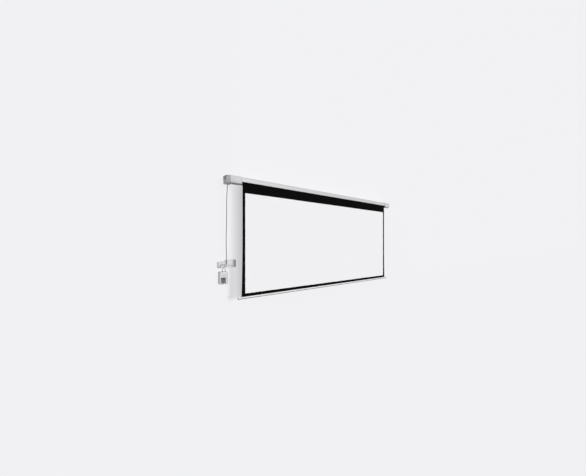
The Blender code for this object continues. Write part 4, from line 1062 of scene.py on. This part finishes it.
@dataclass
class Cord:
    """The cord from the case to the junction, and its gland.

    The sleeve has ribs that grow from the cord to the nut. Rib levels are shares of a rib's pitch.
    """

    shop: Workshop
    diameter: float = 0.007
    spacing: float = 0.006
    facets: int = 6
    exit_at: Pair = (-0.0105, -0.0645)
    gland_end: float = -0.0581
    entry_at: Pair = (-0.0108, -0.0428)
    collar_top: float = -0.842
    gap: float = 0.0003
    lean: float = 0.0005
    straight: float = 0.022
    entry_straight: float = 0.010
    bends: tuple[Point, ...] = (
        (-0.0142, -0.0620, -0.163),
        (-0.0150, -0.0596, -0.242),
        (-0.0146, -0.0573, -0.321),
        (-0.0142, -0.0550, -0.400),
        (-0.0150, -0.0526, -0.479),
        (-0.0164, -0.0505, -0.550),
        (-0.0165, -0.0490, -0.610),
        (-0.0142, -0.0463, -0.697),
        (-0.0117, -0.0445, -0.760),
    )
    sleeve: float = 0.020
    sleeve_wall: float = 0.0007
    sleeve_reach: float = 0.78
    sleeve_steps: int = 40
    ribs: int = 5
    rib_depth: float = 0.0007
    rib_levels: tuple[float, ...] = (0.15, 0.6, 0.7, 0.95)
    nut: float = 0.0032
    nut_shank: float = 0.7
    nut_flat: float = 0.86
    nut_bevel: float = 0.0012
    nut_clear: float = 1.05

    def build(self) -> None:
        """Makes the cord and dresses the gland and the leads."""
        line = smooth_route(self._route(), self.spacing)
        curve = bpy.data.curves.new("screen_cord", "CURVE")
        curve.dimensions = "3D"
        curve.bevel_depth = self.diameter / 2
        curve.bevel_resolution = self.facets
        curve.use_fill_caps = True
        spline = curve.splines.new("POLY")
        spline.points.add(len(line) - 1)
        for point, place in zip(spline.points, line):
            point.co = (*place, 1)
        spline.use_smooth = True
        curve.materials.append(SHEATH.material(self.shop.groups))
        piece = in_scene("screen_cord", curve)
        self.shop.fit(piece, Body.SCREEN, "power_cord", "power_cord")
        self._gland()
        for side in ("left", "right"):
            self.shop.dress(f"lead_{side}", SHEATH)

    def _gland(self) -> None:
        """The gland: its shank in the cap, a six-sided nut and a ribbed sleeve that tapers to the cord."""
        low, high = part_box("cord_gland")
        rim, length, full = (high.x - low.x) / 2, self.sleeve, high.z - low.z
        matrix = Turn.UP.matrix(((low.x + high.x) / 2, (low.y + high.y) / 2, low.z))
        thin, thick = self.diameter / 2 + self.sleeve_wall, rim * self.sleeve_reach
        ribbed, shank = length - self.nut, rim * self.nut_shank
        profile = [(0, 0), (thin, 0)]
        for k in range(self.ribs):
            foot, pitch = ribbed * k / self.ribs, ribbed / self.ribs
            radius = thin + (thick - thin) * (k + 1) / self.ribs
            radii = (radius, radius, radius - self.rib_depth, radius - self.rib_depth)
            profile += [(r, foot + level * pitch) for r, level in zip(radii, self.rib_levels)]
        profile += [(thick, ribbed), (shank, ribbed), (shank, full), (0, full)]
        ribs = Shape().turned(profile, matrix, self.sleeve_steps)
        sleeve = self.shop.made(ribs, "gland_sleeve", GLAND_GREY)
        nut = self.shop.made(Shape().prism(hexagon(rim), ribbed, length, matrix), "gland_nut", GLAND_GREY)
        wide = rim * self.nut_clear
        bevel = [(0, ribbed), (rim * self.nut_flat, ribbed), (wide, ribbed + self.nut_bevel), (wide, length),
                 (0, length)]
        carved(nut, Carving.KEEP, self.shop.tool(Shape().turned(bevel, matrix)))
        for piece in (sleeve, nut):
            self.shop.fit(piece, Body.SCREEN, "cord_gland", "cord_gland")

    def _route(self) -> list[Point]:
        """The points that the cord passes, from its gland to the junction."""
        (x, y), (end_x, end_y) = self.exit_at, self.entry_at
        return [
            (x, y, self.gland_end - self.gap),
            (x - self.lean, y, self.gland_end - self.straight),
            *self.bends,
            (end_x + self.lean, end_y, self.collar_top + self.straight),
            (end_x, end_y, self.collar_top + self.entry_straight),
            (end_x, end_y, self.collar_top + self.gap),
        ]


@dataclass
class Control:
    """The receiver box, the junction on it and the wall switch.

    A painted shade line is the X and Z of its middle, its width and its height. Depths are heights over the
    face.
    """

    shop: Workshop
    box_edge: float = 0.0004
    junction_edge: float = 0.0003
    key_edge: float = 0.0002
    trim_edge: float = 0.0003
    trim_facets: int = 3
    leftward: float = -0.5
    plate_screw: Pair = (0.0017, 0.0016)
    plugs: tuple[float, ...] = (136.0, 58.0, -5.0, -88.0)
    plug_circle: float = 0.72
    plug_radius: float = 0.0062
    plug_edge: float = 0.0006
    plug_dish: float = 0.0008
    plug_rim: Pair = (0.7, 0.6)
    plug_recess: float = 0.0018
    plug_arm: float = 0.25
    plug_corner: float = 0.0002
    # The painted shade lines in the grooves.
    receiver_groove_shade: tuple[float, ...] = (0.031, -0.853, 0.058, 0.0026)
    plate_groove_shade: tuple[float, ...] = (-0.043, -0.9475, 0.052, 0.0022)
    line_corner: float = 0.0008
    line_depth: Pair = (-0.0006, -0.0002)
    # The frame's margins; the wider one is painted shadow of the keys.
    frame_and_shadow_margins: Pair = (0.0021, 0.0038)
    frame_corners: Pair = (0.002, 0.001)
    frame_depth: Pair = (0.00005, 0.0008)
    frame_cut: Pair = (-0.001, 0.002)
    key_gap: float = 0.0012
    key_swing: float = 0.0017
    vents: int = 7
    vent_span: Pair = (0.3, 0.4)
    vent: tuple[float, ...] = (0.0022, 0.012, 0.001)
    vent_depth: float = 0.006
    screw_inset: float = 0.008
    pocket: tuple[Pair, ...] = ((0, -0.0014), (0.0034, -0.0014), (0.0036, 0.002), (0, 0.002))
    head: tuple[Pair, ...] = (
        (0, -0.0013), (0.0028, -0.0013), (0.003, -0.0008), (0.0022, -0.0003), (0, -0.0002),
    )
    head_arms: Pair = (0.0034, 0.0007)
    head_corner: float = 0.0001
    head_recess: Pair = (-0.001, 0.001)

    def build(self) -> None:
        """Dresses the receiver, the junction and the switch."""
        self.shop.dress("receiver_base", HOUSING, self.box_edge)
        self._cover()
        self.shop.dress("circuit_board", BOARD)
        self._junction()
        self.shop.dress("switch_back_box", HOUSING, self.box_edge)
        self.shop.dress("switch_plate", SWITCH_WHITE)
        self.shop.dress("switch_module", NYLON)
        for side in ("left", "right"):
            self.shop.dress(f"rocker_key_{side}", KEY_DARK, self.key_edge)
        for level in ("upper", "lower"):
            self.shop.cross_screw(f"plate_screw_{level}", Turn.FACING, *self.plate_screw, ZINC)
        # Painted shade in the receiver's and plate's grooves, and painted shadow round the keys.
        self._groove_shade_lines()
        self._key_frame_and_shadow()

    def _junction(self) -> None:
        """The box behind the junction, with painted light on its left side, the round junction, its cap and
        the plugs in it.
        """
        self._painted_light_side(self.shop.dress("junction_box", HOUSING, self.junction_edge))
        self.shop.dress("junction_hub", HUB_GREY, self.junction_edge)
        self.shop.dress("junction_cap", HOUSING)
        low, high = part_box("junction_cap")
        middle, reach = (low + high) / 2, (high.x - low.x) / 2 * self.plug_circle
        for k, degrees in enumerate(self.plugs):
            turn = math.radians(degrees)
            at = (middle.x + reach * math.cos(turn), high.y, middle.z + reach * math.sin(turn))
            self._plug(f"junction_plug_{k}", at, high.y - low.y)
        self._plug("junction_plug_middle", (middle.x, high.y, middle.z), high.y - low.y)

    def _painted_light_side(self, piece: Object) -> None:
        """Paints a housing's left-facing faces in a paler tone: painted light on the side that faces away
        from the lamp.

        Args:
            piece: The housing.
        """
        piece.data.materials.append(PAINTED_LIGHT_SIDE.material(self.shop.groups))
        for polygon in piece.data.polygons:
            if (piece.matrix_world.to_3x3() @ polygon.normal).x < self.leftward:
                polygon.material_index = 1

    def _plug(self, name: str, at: Point, height: float) -> None:
        """A dark press-in plug with a cross recess.

        Args:
            name: Its name.
            at: The middle of its back.
            height: How far it stands out.
        """
        matrix, radius, dish = Turn.FACING.matrix(at), self.plug_radius, height - self.plug_dish
        outer, inner = self.plug_rim
        profile = [(0, 0), (radius, 0), (radius, height - self.plug_edge), (radius - self.plug_edge, height),
                   (radius * outer, height), (radius * inner, dish), (0, dish)]
        plug = self.shop.made(Shape().turned(profile, matrix, SCREW_STEPS), name, PLUG_GREY, HARD_ANGLE)
        arms, span = (radius, radius * self.plug_arm), (height - self.plug_recess, height)
        self.shop.recess(plug, arms, self.plug_corner, span, matrix)
        self.shop.fit(plug, Body.SCREEN, "junction_hub")

    def _groove_shade_lines(self) -> None:
        """Painted shade: the dark lines in the receiver's and the switch plate's grooves."""
        lines = {
            "receiver_groove_shade": ("receiver_cover", self.receiver_groove_shade),
            "plate_groove_shade": ("switch_plate", self.plate_groove_shade),
        }
        for name, (node, (x, z, width, height)) in lines.items():
            matrix = Turn.FACING.matrix((x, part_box(node)[0].y, z))
            outline = rounded_box(width, height, self.line_corner, self.trim_facets)
            line = Shape().prism(outline, *self.line_depth, matrix)
            self.shop.fit(self.shop.made(line, name, SHADE_LINE_GREY), Body.SCREEN, "switch_module")

    def _key_frame_and_shadow(self) -> None:
        """The dark frame round the keys, wider at the left and below, with room for the keys to rock. It is
        partly a bezel and partly painted shadow of the keys, on its wider sides.
        """
        low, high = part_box("switch_module")
        middle, front = (low + high) / 2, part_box("switch_plate")[0].y
        matrix = Turn.FACING.matrix((middle.x, front, middle.z))
        left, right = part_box("rocker_key_left"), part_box("rocker_key_right")
        width, height = right[1].x - left[0].x, left[1].z - left[0].z
        shift, both = (self.frame_and_shadow_margins[1] - self.frame_and_shadow_margins[0]) / 2, sum(self.frame_and_shadow_margins)
        outer_corner, inner_corner = self.frame_corners
        outer = [(u + shift, v - shift) for u, v in rounded_box(width + both, height + both, outer_corner)]
        inner = rounded_box(width + self.key_gap, height + 2 * self.key_swing, inner_corner)
        plate = Shape().prism(outer, *self.frame_depth, matrix)
        frame = self.shop.made(plate, "key_frame_and_shadow", PLUG_GREY, HARD_ANGLE)
        carved(frame, Carving.CUT, self.shop.tool(Shape().prism(inner, *self.frame_cut, matrix)))
        softened(frame, self.trim_edge)
        self.shop.fit(frame, Body.SCREEN, "switch_module")

    def _cover(self) -> None:
        """The receiver's cover, with vents in its underside and two recessed corner screws."""
        low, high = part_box("receiver_cover")
        cover = self.shop.copy("receiver_cover", COVER_GREY)
        middle_y, inset = ((low + high) / 2).y, self.screw_inset
        start, span = self.vent_span
        vent = rounded_box(*self.vent, self.trim_facets)
        tools = []
        for k in range(self.vents):
            x = low.x + (high.x - low.x) * (start + span * k / (self.vents - 1))
            matrix = Turn.UP.matrix((x, middle_y, low.z))
            tools.append(self.shop.tool(Shape().prism(vent, -self.vent_depth, self.vent_depth, matrix)))
        corners = [Turn.FACING.matrix((low.x + inset, low.y, high.z - inset)),
                   Turn.FACING.matrix((high.x - inset, low.y, low.z + inset))]
        tools += [self.shop.tool(Shape().turned(self.pocket, matrix, SCREW_STEPS)) for matrix in corners]
        carved(cover, Carving.CUT, *tools)
        # Painted light on the cover's left side.
        self._painted_light_side(cover)
        softened(cover, self.trim_edge)
        self.shop.fit(cover, Body.SCREEN, "receiver_cover", "receiver_cover")
        for k, matrix in enumerate(corners):
            head = Shape().turned(self.head, matrix, SCREW_STEPS)
            screw = self.shop.made(head, f"cover_screw_{k}", ZINC, HEAD_ANGLE)
            self.shop.recess(screw, self.head_arms, self.head_corner, self.head_recess, matrix)
            self.shop.fit(screw, Body.SCREEN, "plate_screw_upper")


# Studio


@dataclass(frozen=True)
class Studio:
    """The camera, the wall and floor, and the light.

    The camera sees a share of the wall's shade that grows along X over wall_fade. Low on the wall, past
    low_levels, it grows sooner, to low_share, and falls back to low_rest. It fades over foot_levels.
    """

    yaw: float = 35.757
    focal_px: float = 231.0
    horizon_px: float = 244.5
    sensor: float = 36.0
    clip: Pair = (0.01, 200.0)
    camera_at: Point = (-0.8186, -2.2987, -0.6426)
    pale: Colour = (0.8796, 0.8796, 0.8963)
    sky_above: float = 0.98
    sky_below: float = 0.20
    sky_band: float = 0.6
    key: float = 0.575
    key_turn: float = 18.6
    key_rise: float = 8.0
    key_spread: float = 20.0
    wall_y: float = 0.0004
    wall_through: float = 0.4
    floor_z: float = -2.6
    reach: float = 40.0
    wall_share: Pair = (0.06, 0.45)
    wall_fade: Pair = (0.01, 0.17)
    low_share: float = 0.5
    low_rest: float = 0.28
    low_fade: Pair = (-0.012, 0.040)
    low_fall: Pair = (0.042, 0.080)
    low_levels: Pair = (-0.66, -0.92)
    foot_levels: Pair = (-1.195, -1.232)
    foot_rest: float = 0.1

    def build(self) -> None:
        """Makes the whole studio."""
        self._camera()
        self._sky()
        self._key()
        self._planes()

    def _camera(self) -> None:
        """The camera at the photograph's viewpoint."""
        data = bpy.data.cameras.new("viewpoint")
        data.sensor_width = self.sensor
        data.lens = self.sensor * self.focal_px / PHOTO_WIDTH
        data.shift_y = (self.horizon_px - PHOTO_HEIGHT / 2) / PHOTO_WIDTH
        data.clip_start, data.clip_end = self.clip
        camera = in_scene("viewpoint", data)
        camera.location = self.camera_at
        camera.rotation_euler = (math.radians(90), 0, -math.radians(self.yaw))
        bpy.context.scene.camera = camera

    def _sky(self) -> None:
        """Soft light, stronger from above, with a pale background to the camera and in gloss."""
        world = bpy.data.worlds.new("studio_light")
        world.use_nodes = True
        tree = world.node_tree
        tree.nodes.clear()
        height = parted(tree, tree.nodes.new("ShaderNodeTexCoord").outputs["Generated"])["Z"]
        band, strengths = (-self.sky_band, self.sky_band), (self.sky_below, self.sky_above)
        strength = ramp(tree, height, band, strengths, "SMOOTHSTEP")
        soft = add_node(tree, "ShaderNodeBackground", {"Strength": strength}).outputs[0]
        plain = add_node(tree, "ShaderNodeBackground", {"Color": (*self.pale, 1)}).outputs[0]
        ray = tree.nodes.new("ShaderNodeLightPath").outputs
        direct = math_node(tree, "MAXIMUM", ray["Is Camera Ray"], ray["Is Transmission Ray"])
        seen = math_node(tree, "MAXIMUM", direct, ray["Is Glossy Ray"])
        mix = add_node(tree, "ShaderNodeMixShader", {0: seen, 1: soft, 2: plain})
        add_node(tree, "ShaderNodeOutputWorld", {"Surface": mix.outputs[0]})
        bpy.context.scene.world = world

    def _key(self) -> None:
        """A wide soft lamp from the front right."""
        data = bpy.data.lights.new("key_light", "SUN")
        data.energy = self.key * math.pi
        data.angle = math.radians(self.key_spread)
        turn, rise = math.radians(self.key_turn), math.radians(self.key_rise)
        towards = Vector((math.sin(turn) * math.cos(rise), -math.cos(turn) * math.cos(rise), math.sin(rise)))
        in_scene("key_light", data).rotation_euler = towards.to_track_quat("Z", "Y").to_euler()

    def _planes(self) -> None:
        """The wall behind the object, and a pale floor far below."""
        square = [(u * self.reach, v * self.reach) for u, v in ((-1, -1), (1, -1), (1, 1), (-1, 1))]
        wall = self._one_sided("studio_wall", self.wall_through, True)
        self._plane("studio_wall", [(u, self.wall_y, v) for u, v in square], wall)
        ground = self._one_sided("studio_floor", 0.0, False)
        floor = self._plane("studio_floor", [(u, v, self.floor_z) for u, v in square], ground)
        floor.visible_diffuse = False
        floor.visible_shadow = False

    def _plane(self, name: str, corners: Sequence[Point], material: bpy.types.Material) -> Object:
        """A large flat plane that isn't part of the object.

        Args:
            name: Its name.
            corners: Its corners, counter-clockwise from the front.
            material: Its material.

        Returns:
            The plane.
        """
        mesh = bpy.data.meshes.new(name)
        mesh.from_pydata(list(corners), [], [tuple(range(len(corners)))])
        mesh.materials.append(material)
        plane = in_scene(name, mesh)
        return plane

    def _wall_shade(self, tree: Tree, place: Socket) -> Socket:
        """The share of the wall's light and shade that the camera sees.

        Args:
            tree: The material's tree.
            place: The socket of the point's place.

        Returns:
            The share's socket.
        """
        axes = parted(tree, place)
        high = ramp(tree, axes["X"], self.wall_fade, self.wall_share)
        rise = ramp(tree, axes["X"], self.low_fade, (0.0, self.low_share))
        fall = ramp(tree, axes["X"], self.low_fall, (self.low_share, self.low_rest))
        foot = math_node(tree, "MINIMUM", rise, fall)
        low = math_node(tree, "MULTIPLY", foot, ramp(tree, axes["Z"], self.low_levels, (0.0, 1.0)))
        above = ramp(tree, axes["Z"], self.foot_levels, (1.0, self.foot_rest))
        return math_node(tree, "MULTIPLY", above, math_node(tree, "MAXIMUM", high, low))

    def _one_sided(self, name: str, through: float, shaded: bool) -> bpy.types.Material:
        """A pale matt surface that only shows from its front.

        Args:
            name: The material's name.
            through: The share of the light from behind that it lets through.
            shaded: Whether the camera sees a share of its light and shade, or only an even tone.

        Returns:
            The material.
        """
        material = bpy.data.materials.new(name)
        material.use_nodes = True
        tree = material.node_tree
        tree.nodes.clear()
        ray = tree.nodes.new("ShaderNodeLightPath").outputs
        place = tree.nodes.new("ShaderNodeNewGeometry").outputs
        seen = math_node(tree, "MAXIMUM", ray["Is Camera Ray"], ray["Is Glossy Ray"])
        passed = math_node(tree, "MULTIPLY", math_node(tree, "SUBTRACT", 1.0, seen), through)
        hidden = math_node(tree, "MAXIMUM", passed, place["Backfacing"])
        share = self._wall_shade(tree, place["Position"]) if shaded else 0.0
        plain = math_node(tree, "MULTIPLY", seen, math_node(tree, "SUBTRACT", 1.0, share))
        colour = {"Color": (*self.pale, 1)}
        lit = add_node(tree, "ShaderNodeBsdfDiffuse", colour).outputs[0]
        even = add_node(tree, "ShaderNodeEmission", colour).outputs[0]
        clear = tree.nodes.new("ShaderNodeBsdfTransparent").outputs[0]
        front = add_node(tree, "ShaderNodeMixShader", {0: plain, 1: lit, 2: even}).outputs[0]
        whole = add_node(tree, "ShaderNodeMixShader", {0: hidden, 1: front, 2: clear}).outputs[0]
        add_node(tree, "ShaderNodeOutputMaterial", {"Surface": whole})
        return material


def clear_scene() -> None:
    """Removes what a new file holds."""
    for old in list(bpy.data.objects):
        bpy.data.objects.remove(old)


def main() -> None:
    """Builds the studio and dresses the screen."""
    logging.basicConfig(level=logging.INFO, format="%(name)s: %(message)s")
    clear_scene()
    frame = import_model()
    bpy.context.scene.view_settings.view_transform = "Standard"
    Studio().build()
    shop = Workshop(frame, EffectGroups())
    for assembly in (Cord(shop), Case(shop), Drive(shop), Drop(shop), Control(shop)):
        assembly.build()


if __name__ == "__main__":
    main()
